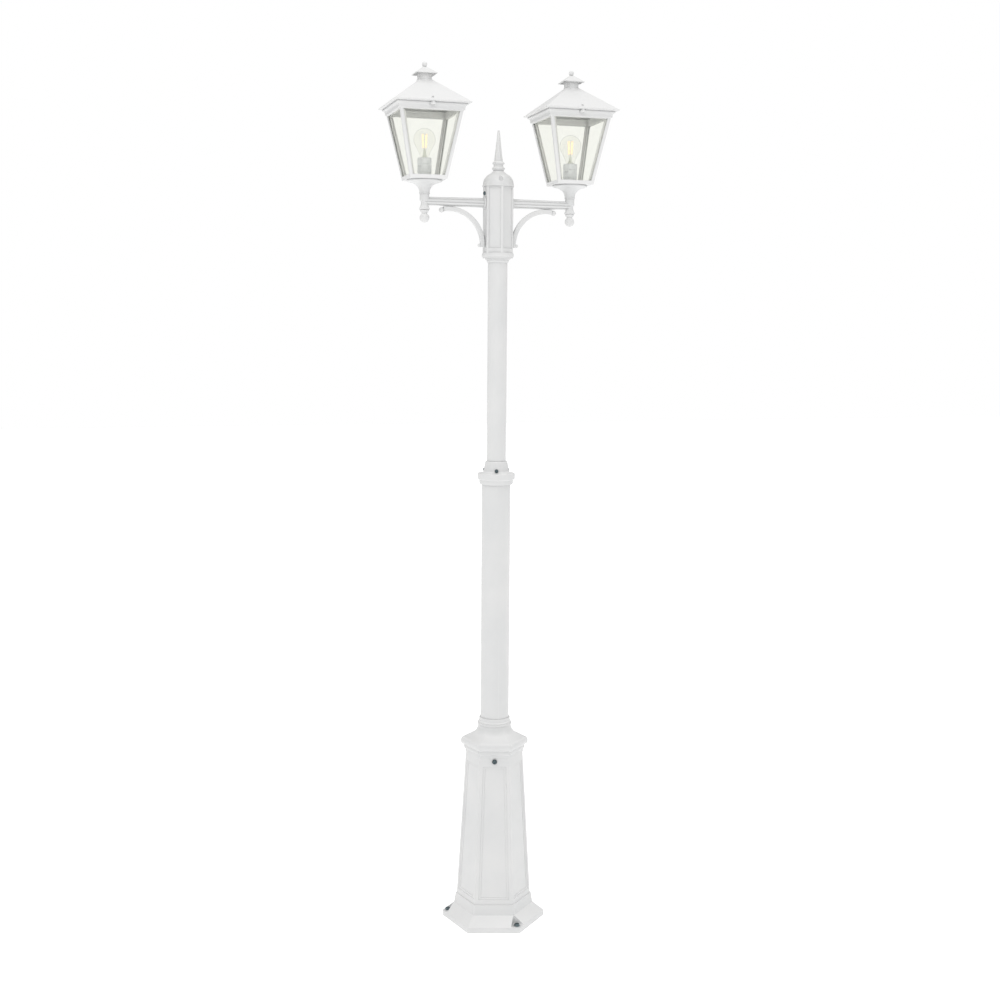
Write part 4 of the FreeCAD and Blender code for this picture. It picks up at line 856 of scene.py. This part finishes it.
# ---- hub, dome and spire -----------------------------------------------------
class LAMP_POST_OT_hub(bpy.types.Operator):
    """Make the six-sided hub with its ring, dome and spire"""
    bl_idname = "lamp_post.hub"
    bl_label = "Hub, dome and spire"

    panel_margin = 5.0
    panel_low = 14.0

    def hub_ring(self):
        z = heights("hub_ring")[0]
        r = span("hub_ring")[1].x
        foot = heights("hub_body")[0]
        neck = span("upper_pole")[1].x + 4.0
        outline = [(neck - 2.5, z), (neck, z + 5), (neck, z + 8), (neck + 4, z + 9), (neck + 4, z + 11.5),
                   (r - 3, z + 12), (r - 3, z + 15), (r - 1, z + 15.5)]
        outline = bowed(outline, (r + 0.4, z + 20.5), (r - 1.4, foot), 6)
        shown(turned("hub_ring_finished", eased([(neck - 5, z)] + outline + [(neck - 5, foot)],
                                                mm(sizes().fine_easing))),
              "head", "white_coat", "hub_ring")

    def hub_body(self):
        low, high = span("hub_body")
        corner = high.x / COS30
        wall = 5.0 / COS30
        split = low.z + self.panel_low - self.panel_margin
        outline = [(corner, low.z), (corner, split), (corner, high.z), (corner - wall, high.z),
                   (corner - wall, low.z), (corner, low.z)]
        hub = turned("hub_body_finished", outline, 6, corner=1.6)
        sunk_panels(hub, lambda face: face.area > 0.004 and face.normal.xy.dot(face.center.xy) > 0
                    and abs(face.normal.x) < 0.9,
                    ((self.panel_margin - 2.2, 0.0), (0.7, 2.6), (1.8, 0.0), (0.7, 0.6), (0.5, 0.0)))
        shown(hub, "head", "white_coat", "hub_body", smooth=25)

    def dome(self):
        z, top = heights("dome_cap")
        r = span("dome_cap")[1].x
        neck = 14.4
        outline = eased([(r - 6, z), (r, z), (r, z + 3.2), (r - 1.2, z + 4)], 0.5)
        outline = bowed(outline, (r * 0.96, z + (top - z) * 0.60), (r * 0.56, z + (top - z) * 0.79), 12)
        outline = bowed(outline, (neck + 3.5, top - 4.0), (neck, top - 0.5), 6)
        dome = turned("dome_cap_finished", outline + [(neck - 1, top)], 96)
        out = level(math.radians(-96))
        drop = turned("drop_cutter", [(0.4, -10.0)] + swept((0.4, -10.0), (9.0, -5.0), (3.6, 5.0), 8)
                      + swept((3.6, 5.0), (1.2, 9.0), (0.01, 12.0), 4), 24)
        laid(drop, out * (r * 0.89) + Vector((0, 0, z + (top - z) * 0.47)), Vector((0, 0, 1)) - out * 0.5)
        shown(combined(dome, drop, "DIFFERENCE"), "head", "white_coat", "dome_cap", smooth=40)

    def spire(self):
        z = span("dome_cap")[1].z + 0.1
        top = span("spire")[1].z
        outline = [(14.4, z), (14.4, z + 1.5)]
        outline = bowed(outline, (20.6, z + 5.5), (14.8, z + 9.5), 8)
        outline += [(12.8, z + 12.5), (12.8, z + 16), (15.8, z + 18)]
        outline = bowed(outline, (17.8, z + 20.5), (15.0, z + 22.5), 6)
        outline += [(11.2, z + 26), (10.5, z + 26.2)]
        turning = turned("spire_turning", eased([(8, z)] + outline + [(4, z + 27)], 0.4))
        blade = [(12.4, z + 24), (12.2, z + 27)]
        blade = bowed(blade, (7.4, z + 62), (3.4, top - 3), 10)
        blade = bowed(blade, (3.2, top - 0.6), (0.8, top), 3)
        needle = turned("spire_needle", blade, 6, corner=0.9)
        spire = combined(turning, needle, "UNION")
        spire.name = "spire_finished"
        shown(spire, "head", "white_coat", "spire", smooth=38)

    def execute(self, context):
        self.hub_ring()
        self.hub_body()
        self.dome()
        self.spire()
        return {"FINISHED"}


# ---- arms and brackets -------------------------------------------------------
class LAMP_POST_OT_arms(bpy.types.Operator):
    """Make the grooved arms with their end bosses, rosettes, finials and scroll brackets"""
    bl_idname = "lamp_post.arms"
    bl_label = "Arms and brackets"

    hub_radius = 12.7
    end_radius = 10.9
    grooves = 9
    groove_half = 6.5       # degrees
    points = 120
    bend = 94.2             # a scroll bracket's band, to its middle

    def bar(self, reach, z, face):
        """Grooved bar, drawn at the origin along its length and then laid along X."""
        start = face + 1.0
        bar = ring("arm_bar", self.points, self.hub_radius, 0.0)
        pitch = 360 / self.grooves

        def in_groove(point):
            spot = math.degrees(math.atan2(point.co.y, point.co.x))
            return abs((spot + pitch / 2) % pitch - pitch / 2) < self.groove_half
        pick(bar, "VERT", in_groove)
        widened(1 - mm(sizes().groove_depth) / self.hub_radius)
        bpy.ops.mesh.select_all(action="SELECT")
        draw_up([(self.hub_radius, 0.0), (self.end_radius, reach - start)])
        closed_up(bar)
        return laid(bar, (start, 0, z), (1, 0, 0))

    def boss(self, reach, z):
        low = z - 23.0
        top = z + 17.5
        outline = [(8.0, low), (13.6, low), (14.7, low + 1.6), (13.4, low + 5)]
        outline = bowed(outline, (9.6, low + 12), (9.4, low + 20.5), 7)
        outline += [(12.6, low + 24.0), (12.8, low + 25.0), (12.8, top), (9.0, top), (9.0, top + 14.8),
                    (6, top + 14.8)]
        return turned("arm_boss", eased(outline, mm(sizes().fine_easing)), ROUND, reach)

    def rosette(self, face, z):
        outline = [(9.4, 0.1), (16.0, 0.1), (16.0, 3.4), (15.2, 4.6), (13.9, 5.0), (13.4, 4.0), (12.9, 4.2),
                   (12.7, 5.4), (9.4, 5.5), (9.4, 0.1)]
        return laid(turned("arm_rosette", eased(outline, 0.4), 48), (face, 0, z), (1, 0, 0))

    def finial(self, reach, z):
        top = z - 23.1
        r = 13.0
        centre = span("arm_finials")[0].z + r
        neck = 7.4
        outline = dome_points(r, centre, -90, 55, 16)
        outline += [(neck, centre + 12.2), (11.0, top - 4.6), (11.9, top - 3.2), (11.9, top - 0.8),
                    (11.2, top), (4.0, top)]
        return turned("arm_finial", eased(outline, 0.4), ROUND, reach)

    def bracket(self):
        """Quarter-round band with ball ends, swept about the bracket's centre."""
        s = sizes()
        band = mm(s.scroll_band)
        radius = self.bend
        foot = span("hub_body")[1].x + 0.1
        centre = Vector((foot + band / 2 + radius, 0, span("hub_body")[0].z + 20.5))
        deselect()
        bpy.ops.mesh.primitive_plane_add(size=1.0, location=((centre.x - radius) * MM, 0, centre.z * MM))
        bpy.context.object.scale = (band * MM, mm(s.scroll_depth) * MM, 1.0)
        bracket = named("scroll_band")
        bpy.ops.mesh.bevel(offset=2.9 * MM, segments=4, affect="VERTICES")
        bpy.ops.mesh.select_all(action="SELECT")
        bpy.ops.mesh.spin(steps=44, angle=math.radians(102), center=tuple(centre * MM), axis=(0, -1, 0))
        closed_up(bracket)
        back = Matrix.Translation(centre * MM)
        moved(bracket, back @ Matrix.Rotation(math.radians(-3), 4, "Y") @ back.inverted())

        def at(degrees, r):
            turn = math.radians(degrees)
            return centre + Vector((-r * math.cos(turn), 0, r * math.sin(turn)))
        for degrees, r, ball in ((102.5, radius - 1.5, 7.2), (-0.5, radius - band / 2 - 2.2, 4.8)):
            knob = turned("scroll_ball", dome_points(ball, 0.0, -90, 90, 14), SLIM_ROUND)
            combined(bracket, laid(knob, at(degrees, r)), "UNION")
        return bracket

    def execute(self, context):
        face = span("hub_body")[1].x
        reach = middle("ball_finial_right").x
        z = middle("arm_nuts").z
        arm = combined(self.bar(reach, z, face), self.boss(reach, z), "UNION")
        rosettes = [self.rosette(face, z)]
        rosettes.append(mirrored(rosettes[0], "arm_rosette_left"))
        finials = [self.finial(reach, z)]
        finials.append(mirrored(finials[0], "arm_finial_left"))
        for node, pattern in (("arm", arm), ("scroll_bracket", self.bracket())):
            shown_pair(mirrored(pattern, node), pattern, node, "head", "white_coat", 32)
        shown(joined(rosettes, "arm_rosettes_finished"), "head", "white_coat", "arm_rosettes")
        shown(joined(finials, "arm_finials_finished"), "head", "white_coat", "arm_finials", smooth=40)
        return {"FINISHED"}


# ---- lanterns ----------------------------------------------------------------
class LAMP_POST_OT_lanterns(bpy.types.Operator):
    """Make the cups, the glazed frames and the hinged roofs with their chimneys"""
    bl_idname = "lamp_post.lanterns"
    bl_label = "Lanterns"

    tray_half = 50.2
    frame_half = 84.3
    frame_rise = 171.0
    cornice_rise = 18.5
    cornice_reach = 9.9
    rail = 10.0
    wall = 3.0
    leg = 9.0

    def cup(self, reach):
        z, top = heights("cup_right")
        rise = top - z
        r = half_width("cup_right")
        outline = [(9.2, z), (12.8, z), (14.6, z + 1.2), (14.6, z + 3.2), (13.6, z + 4.4), (13.9, z + 6.0)]
        outline = bowed(outline, (15.5, z + rise * 0.70), (r - 6.0, top - 6.2), 12)
        outline += [(r - 0.8, top - 4.4), (r, top - 3.4), (r, top - 0.8), (r - 0.8, top), (6.0, top)]
        return turned("cup_pattern", eased(outline, 0.5), ROUND, reach)

    def half_at(self, z, foot):
        return self.tray_half + (self.frame_half - self.tray_half) * (z - foot) / self.frame_rise

    def post(self, reach, foot):
        """One corner post: an angle drawn up and outwards along the frame's corner."""
        low = foot + self.rail - 2
        high = foot + self.frame_rise + 1
        outer = self.half_at(low, foot)
        spot = Vector((reach - outer + self.wall / 2, -outer + self.wall / 2, low))
        deselect()
        bpy.ops.mesh.primitive_plane_add(size=self.wall * MM, location=spot * MM)
        post = named("lantern_post")
        for way in (Vector((1, 0, 0)), Vector((0, 1, 0))):
            edge_middle = (spot + way * self.wall / 2) * MM

            def at_middle(edge):
                ends = [post.data.vertices[i].co for i in edge.vertices]
                return ((ends[0] + ends[1]) / 2 - edge_middle).length < DOUBLED * MM
            pick(post, "EDGE", at_middle)
            pulled(*way * (self.leg - self.wall))
        bpy.ops.mesh.select_all(action="SELECT")
        out = outer - self.half_at(high, foot)
        pulled(out, out, high - low)
        bpy.ops.mesh.select_mode(type="VERT")
        closed_up(post)
        applied(post, "DECIMATE", decimate_type="DISSOLVE", angle_limit=math.radians(1))
        return softened(post, 0.7)

    def turned_about(self, piece, name, reach, degrees):
        centre = Matrix.Translation((reach * MM, 0, 0))
        return moved(copied(piece, name),
                     centre @ Matrix.Rotation(math.radians(degrees), 4, "Z") @ centre.inverted())

    def frame(self, reach):
        s = sizes()
        foot = span("lantern_frame_right")[0].z
        top = foot + self.frame_rise
        ease = mm(s.fine_easing)
        low, rail = self.half_at(foot, foot), self.half_at(foot + self.rail, foot)
        tray = [(low, foot), (rail, foot + self.rail), (rail - self.wall, foot + self.rail),
                (self.half_at(foot + 3.5, foot) - self.wall, foot + 3.5), (6.0, foot + 3.5), (6.0, foot),
                (low, foot)]
        frame_piece = square_piece("lantern_tray", eased(tray, ease), reach, 1.0)
        f = self.frame_half
        high = top + self.cornice_rise
        cornice = [(f, top), (f + 1.2, top + 1.6), (f + 3.7, top + 2.6), (f + 3.9, top + 7.5)]
        cornice = bowed(cornice, (f + 4.4, top + 12.0), (f + 7.4, top + 13.6), 6)
        edge = f + self.cornice_reach
        cornice += [(edge - 0.5, top + 14.4), (edge, top + 15.4), (edge, high), (f - 7.8, high),
                    (f - 7.8, top), (f, top)]
        parts = [square_piece("lantern_cornice", eased(cornice, ease), reach, 1.0)]
        post = self.post(reach, foot)
        parts += [self.turned_about(post, "lantern_post", reach, 90 * k) for k in (1, 2, 3)] + [post]
        parts += self.ears(reach, high) + [self.lug(reach, high)]
        for part in parts:
            combined(frame_piece, part, "UNION")
        return frame_piece

    def ears(self, reach, high):
        """The two small lugs under the cornice that carry the hinge pin."""
        out = -(self.frame_half + self.cornice_reach + 3.4)
        z = high - 4.2
        made = []
        for side in (-1, 1):
            x = reach + side * 5.0
            outline = eased([(0.8, -1.5), (3.9, -1.5), (3.9, 1.5), (0.8, 1.5)], 0.4)
            ear = turned("hinge_ear", outline, SLIM_ROUND)
            laid(ear, (x, out, z), (1, 0, 0))
            made.append(combined(ear, block("hinge_web", (x, out + 5.2, z), (3.0, 10.4, 7.8), 0.4), "UNION"))
        return made

    def lug(self, reach, high):
        """The lug behind the cornice that takes the thumb screw."""
        out = self.frame_half + self.cornice_reach + 1.4
        return block("thumb_lug", (reach, out, high - 3.5), (14.0, 15.0, 6.9), 1.0, 3)

    def roof(self, reach):
        seat = heights("roof_right")[0]
        eave = half_width("roof_right")
        lip = eave - 9.8
        pitch = 0.75
        chimney = 19.5

        def slope(half):
            return seat + 10.6 + (lip - half) * pitch
        outline = [(eave - 6.0, seat), (eave - 0.6, seat + 1.6), (eave, seat + 2.4), (eave, seat + 3.6)]
        outline = bowed(outline, (eave - 6.5, seat + 6.6), (lip, seat + 10.6), 7)
        outline += [(chimney + 3.4, slope(chimney + 3.4)), (chimney * 0.72, slope(chimney * 0.72)),
                    (chimney * 0.72, slope(chimney * 0.72) - 3.8), (eave - 19.6, seat + 12.4),
                    (eave - 19.6, seat), (eave - 6.0, seat)]
        roof = square_piece("roof_pattern", eased(outline, mm(sizes().fine_easing)), reach, 1.2)
        flare = [(chimney + 0.2, slope(chimney) - 6), (chimney + 5.2, slope(chimney) - 4.0)]
        flare = bowed(flare, (chimney + 1.6, slope(chimney) - 0.6), (chimney + 1.2, slope(chimney) + 2.4), 5)
        flare += [(chimney + 0.2, slope(chimney) + 2.4), flare[0]]
        return combined(roof, turned("chimney_flare", flare, ROUND, reach), "UNION")

    def chimney(self, reach):
        outline = tube(half_width("chimney_right"), 2.5, *heights("chimney_right"), 0.4)
        return turned("chimney_pattern", outline, ROUND, reach)

    def cap(self, reach):
        z, top = heights("chimney_cap_right")
        half = half_width("chimney_cap_right")
        outline = [(half, z), (half, z + 2.0), (half - 1.4, z + 2.6)]
        outline = bowed(outline, (half * 0.55, top - 8.2), (3.6, top), 8)
        outline += [(2.8, top), (2.8, top - 3.0), (half - 3.0, z + 1.8), (half - 3.0, z), (half, z)]
        return square_piece("cap_pattern", eased(outline, 0.4), reach, 0.9)

    def ball(self, reach):
        z, top = heights("ball_finial_right")
        foot = heights("chimney_cap_right")[1] + 0.1
        r = 6.9
        neck = 3.6
        centre = top - r
        outline = [(2.5, z), (2.5, foot), (5.4, foot), (5.4, foot + 0.9), (neck, foot + 2.2)]
        outline += dome_points(r, centre, -58, 90, 16)
        return turned("ball_pattern", eased(outline, 0.3), SLIM_ROUND + 16, reach)

    def execute(self, context):
        reach = middle("ball_finial_right").x
        patterns = (("cup", "head", self.cup(reach)), ("lantern_frame", "head", self.frame(reach)),
                    ("roof", "roof_", self.roof(reach)), ("chimney", "roof_", self.chimney(reach)),
                    ("chimney_cap", "roof_", self.cap(reach)), ("ball_finial", "roof_", self.ball(reach)))
        for node, body, pattern in patterns:
            shown_pair(mirrored(pattern, node), pattern, node, body, "white_coat", 34)
        return {"FINISHED"}


# ---- lamps -------------------------------------------------------------------
class LAMP_POST_OT_lamps(bpy.types.Operator):
    """Make the lamp holders and the clear lamps with their stems and filament strips"""
    bl_idname = "lamp_post.lamps"
    bl_label = "Lamps"

    strip_rise = 38.0
    strip_ring = 5.4
    strip_lean = 1.8

    def holder(self, x):
        z, top = heights("lamp_holder_right")
        r = half_width("lamp_holder_right")
        outline = [(5.2, z), (r - 2.0, z), (r - 0.6, z + 1.0), (r - 0.6, z + 12.0), (r, z + 12.8),
                   (r, top - 18), (r - 0.9, top - 17.6), (r - 0.9, top - 16.4), (r, top - 16), (r, top - 1.6),
                   (r - 1.4, top), (13.8, top), (13.8, z + 21), (5.2, z + 21), (5.2, z)]
        holder = turned("holder_pattern", eased(outline, 0.5), ROUND, x)
        latch = block("holder_latch", (x - 0.72 * r, -0.55 * r, top - 11.5), (9.0, 11.0, 21.0), 0.8,
                      turn=math.radians(37))
        latch.data.materials.append(bpy.data.materials["terminal_plastic"])
        holder.data.materials.append(bpy.data.materials["holder_ceramic"])
        return combined(holder, latch, "UNION")

    def glass(self, x):
        z, top = heights("lamp_glass_right")
        wall = mm(sizes().glass_wall)
        r = half_width("lamp_glass_right")
        centre = top - r

        def skin(inset):
            ball = dome_points(r - inset, centre, -34, 90, 22)
            neck = 11.6 - inset
            points = [(neck, z + inset), (neck, z + 3)]
            return points + swept((neck, z + 3), (neck + 2.0, z + 14), ball[0], 10)[:-1] + ball
        outer = turned("glass_pattern", skin(0.0), ROUND, x)
        inner = turned("glass_inside", skin(wall), ROUND, x)
        return combined(outer, inner, "DIFFERENCE")

    def filament(self, x):
        """Glass stem, its wires and four phosphor strips between them."""
        z, top = heights("lamp_filament_right")
        top -= 1.0
        foot = top - self.strip_rise
        outline = [(8.6, z), (8.6, z + 1.2), (4.0, z + 9), (3.2, foot - 6), (1.6, foot - 1), (0.8, foot + 1),
                   (0.0, foot + 1)]
        stem = turned("stem_pattern", eased(outline, 0.4), SLIM_ROUND, x)
        mast = rod("mast", 0.45, (x, 0, foot), (x, 0, top + 0.6), 8)
        strips = []
        wires = [mast]
        for k in range(4):
            turn = math.radians(45 + 90 * k)
            out = level(turn)
            base = Vector((x, 0, foot + 1)) + out * self.strip_ring
            peak = Vector((x, 0, top - 1.5)) + out * (self.strip_ring + self.strip_lean)
            along = (peak - base).normalized()
            strips.append(rod("strip", 1.25, base, peak, 10))
            wires.append(rod("wire", 0.35, (x, 0, foot - 1), base + along, 8))
            wires.append(rod("wire", 0.35, (x, 0, top), peak - along, 8))
        stem.data.materials.append(bpy.data.materials["stem_glass"])
        for wire in wires:
            wire.data.materials.append(bpy.data.materials["zinc_steel"])
        for strip in strips:
            strip.data.materials.append(bpy.data.materials["filament"])
        return joined(strips + wires + [stem], "filament_pattern")

    def execute(self, context):
        x = middle("ball_finial_right").x
        patterns = (("lamp_holder", "head", "holder_ceramic", self.holder(x)),
                    ("lamp_glass", "lamp_", "lamp_glass", self.glass(x)),
                    ("lamp_filament", "lamp_", "filament", self.filament(x)))
        across = Matrix.Translation((-2 * x * MM, 0, 0))
        for node, body, slot, pattern in patterns:
            shown_pair(moved(copied(pattern, node), across), pattern, node, body, slot, 40)
        return {"FINISHED"}


# ---- stage -------------------------------------------------------------------
class LAMP_POST_OT_stage(bpy.types.Operator):
    """Lay the pale floor, hang the soft lights and set up the camera"""
    bl_idname = "lamp_post.stage"
    bl_label = "Stage"

    def floor(self):
        deselect()
        bpy.ops.mesh.primitive_plane_add(size=40.0, location=(0, 0, -0.0005))
        floor = bpy.context.object
        floor.name = "studio_floor"
        paint = Coating("studio_floor_paint", roughness=0.9, specular_ior_level=0.1, emission_strength=0.46)
        c = colours()
        paint.set("Emission Color", (1.0, 1.0, 1.0, 1.0))
        tone = paint.banded(paint.noise(1.5, 3.0), 0.35, 0.65)
        paint.feed("Base Color", paint.mixed(tone, shaded(c.floor, 0.99), tuple(c.floor)))
        floor.data.materials.append(paint.material)

    def light(self, name, kind, place, target, power):
        """A light at place, aimed at target. Both are in metres."""
        light = bpy.data.lights.new(name, kind)
        light.energy = power
        holder = bpy.data.objects.new(name, light)
        bpy.context.scene.collection.objects.link(holder)
        aim = (Vector(target) - Vector(place)).to_track_quat("-Z", "Y")
        holder.matrix_world = Matrix.Translation(place) @ aim.to_matrix().to_4x4()
        return light

    def sun(self, name, place, power, softness):
        self.light(name, "SUN", place, (0, 0, 0), power).angle = math.radians(softness)

    def camera(self):
        studio = bpy.context.scene.lamp_post_studio
        data = bpy.data.cameras.new("studio_camera")
        data.lens = studio.lens
        data.sensor_width = 36.0
        data.clip_end = 100.0
        camera = bpy.data.objects.new("studio_camera", data)
        bpy.context.scene.collection.objects.link(camera)
        place = Vector((math.sin(studio.heading), -math.cos(studio.heading), 0)) * studio.distance
        camera.matrix_world = (Matrix.Translation(place + Vector((0, 0, studio.height)))
                               @ Matrix.Rotation(studio.heading + studio.pan, 4, "Z")
                               @ Matrix.Rotation(math.radians(90) - studio.tilt, 4, "X")
                               @ Matrix.Rotation(studio.roll, 4, "Z"))
        bpy.context.scene.camera = camera

    def execute(self, context):
        self.floor()
        scene = context.scene
        world = bpy.data.worlds.new("studio_air")
        world.use_nodes = True
        nodes = world.node_tree.nodes
        air = nodes["Background"]
        air.inputs["Color"].default_value = (1.0, 1.0, 1.0, 1.0)
        seen = nodes.new("ShaderNodeMapRange")
        seen.inputs["To Min"].default_value = 0.72
        path = nodes.new("ShaderNodeLightPath")
        links = world.node_tree.links
        links.new(path.outputs["Is Camera Ray"], seen.inputs["Value"])
        links.new(seen.outputs["Result"], air.inputs["Strength"])
        scene.world = world
        scene.view_settings.view_transform = "Standard"
        self.sun("front_light", (-0.28, -1.0, 0.10), 0.29, 50)
        self.sun("left_overhead_light", (-0.65, 0.0, 1.0), 0.48, 40)
        self.sun("right_overhead_light", (0.85, 0.0, 1.0), 0.52, 40)
        self.light("top_light", "AREA", (-0.8, -1.8, 3.9), (0, 0, 2.1), 18).size = 1.6
        self.camera()
        return {"FINISHED"}


# ---- panel and registration --------------------------------------------------
STEPS = ("coatings", "base", "crown", "screws", "poles", "hub", "arms", "lanterns", "lamps", "stage")


class LAMP_POST_PT_panel(bpy.types.Panel):
    """Steps and sizes of the lamp post"""
    bl_idname = "LAMP_POST_PT_panel"
    bl_label = "Lamp post"
    bl_space_type = "VIEW_3D"
    bl_region_type = "UI"
    bl_category = "Lamp post"

    def draw(self, context):
        column = self.layout.column(align=True)
        for step in STEPS:
            column.operator("lamp_post." + step)
        for group in (context.scene.lamp_post_sizes, context.scene.lamp_post_colours,
                      context.scene.lamp_post_studio):
            box = self.layout.box()
            for name in group.__annotations__:
                box.prop(group, name)


CLASSES = (LampPostSizes, LampPostColours, LampPostStudio, LAMP_POST_OT_coatings, LAMP_POST_OT_base,
           LAMP_POST_OT_crown, LAMP_POST_OT_screws, LAMP_POST_OT_poles, LAMP_POST_OT_hub, LAMP_POST_OT_arms,
           LAMP_POST_OT_lanterns, LAMP_POST_OT_lamps, LAMP_POST_OT_stage, LAMP_POST_PT_panel)
GROUPS = {"lamp_post_sizes": LampPostSizes, "lamp_post_colours": LampPostColours,
          "lamp_post_studio": LampPostStudio}


def register():
    for cls in CLASSES:
        bpy.utils.register_class(cls)
    for name, group in GROUPS.items():
        setattr(bpy.types.Scene, name, bpy.props.PointerProperty(type=group))


def unregister():
    for name in GROUPS:
        delattr(bpy.types.Scene, name)
    for cls in reversed(CLASSES):
        bpy.utils.unregister_class(cls)


def main():
    register()
    for step in STEPS:
        getattr(bpy.ops.lamp_post, step)()


if __name__ == "__main__":
    main()
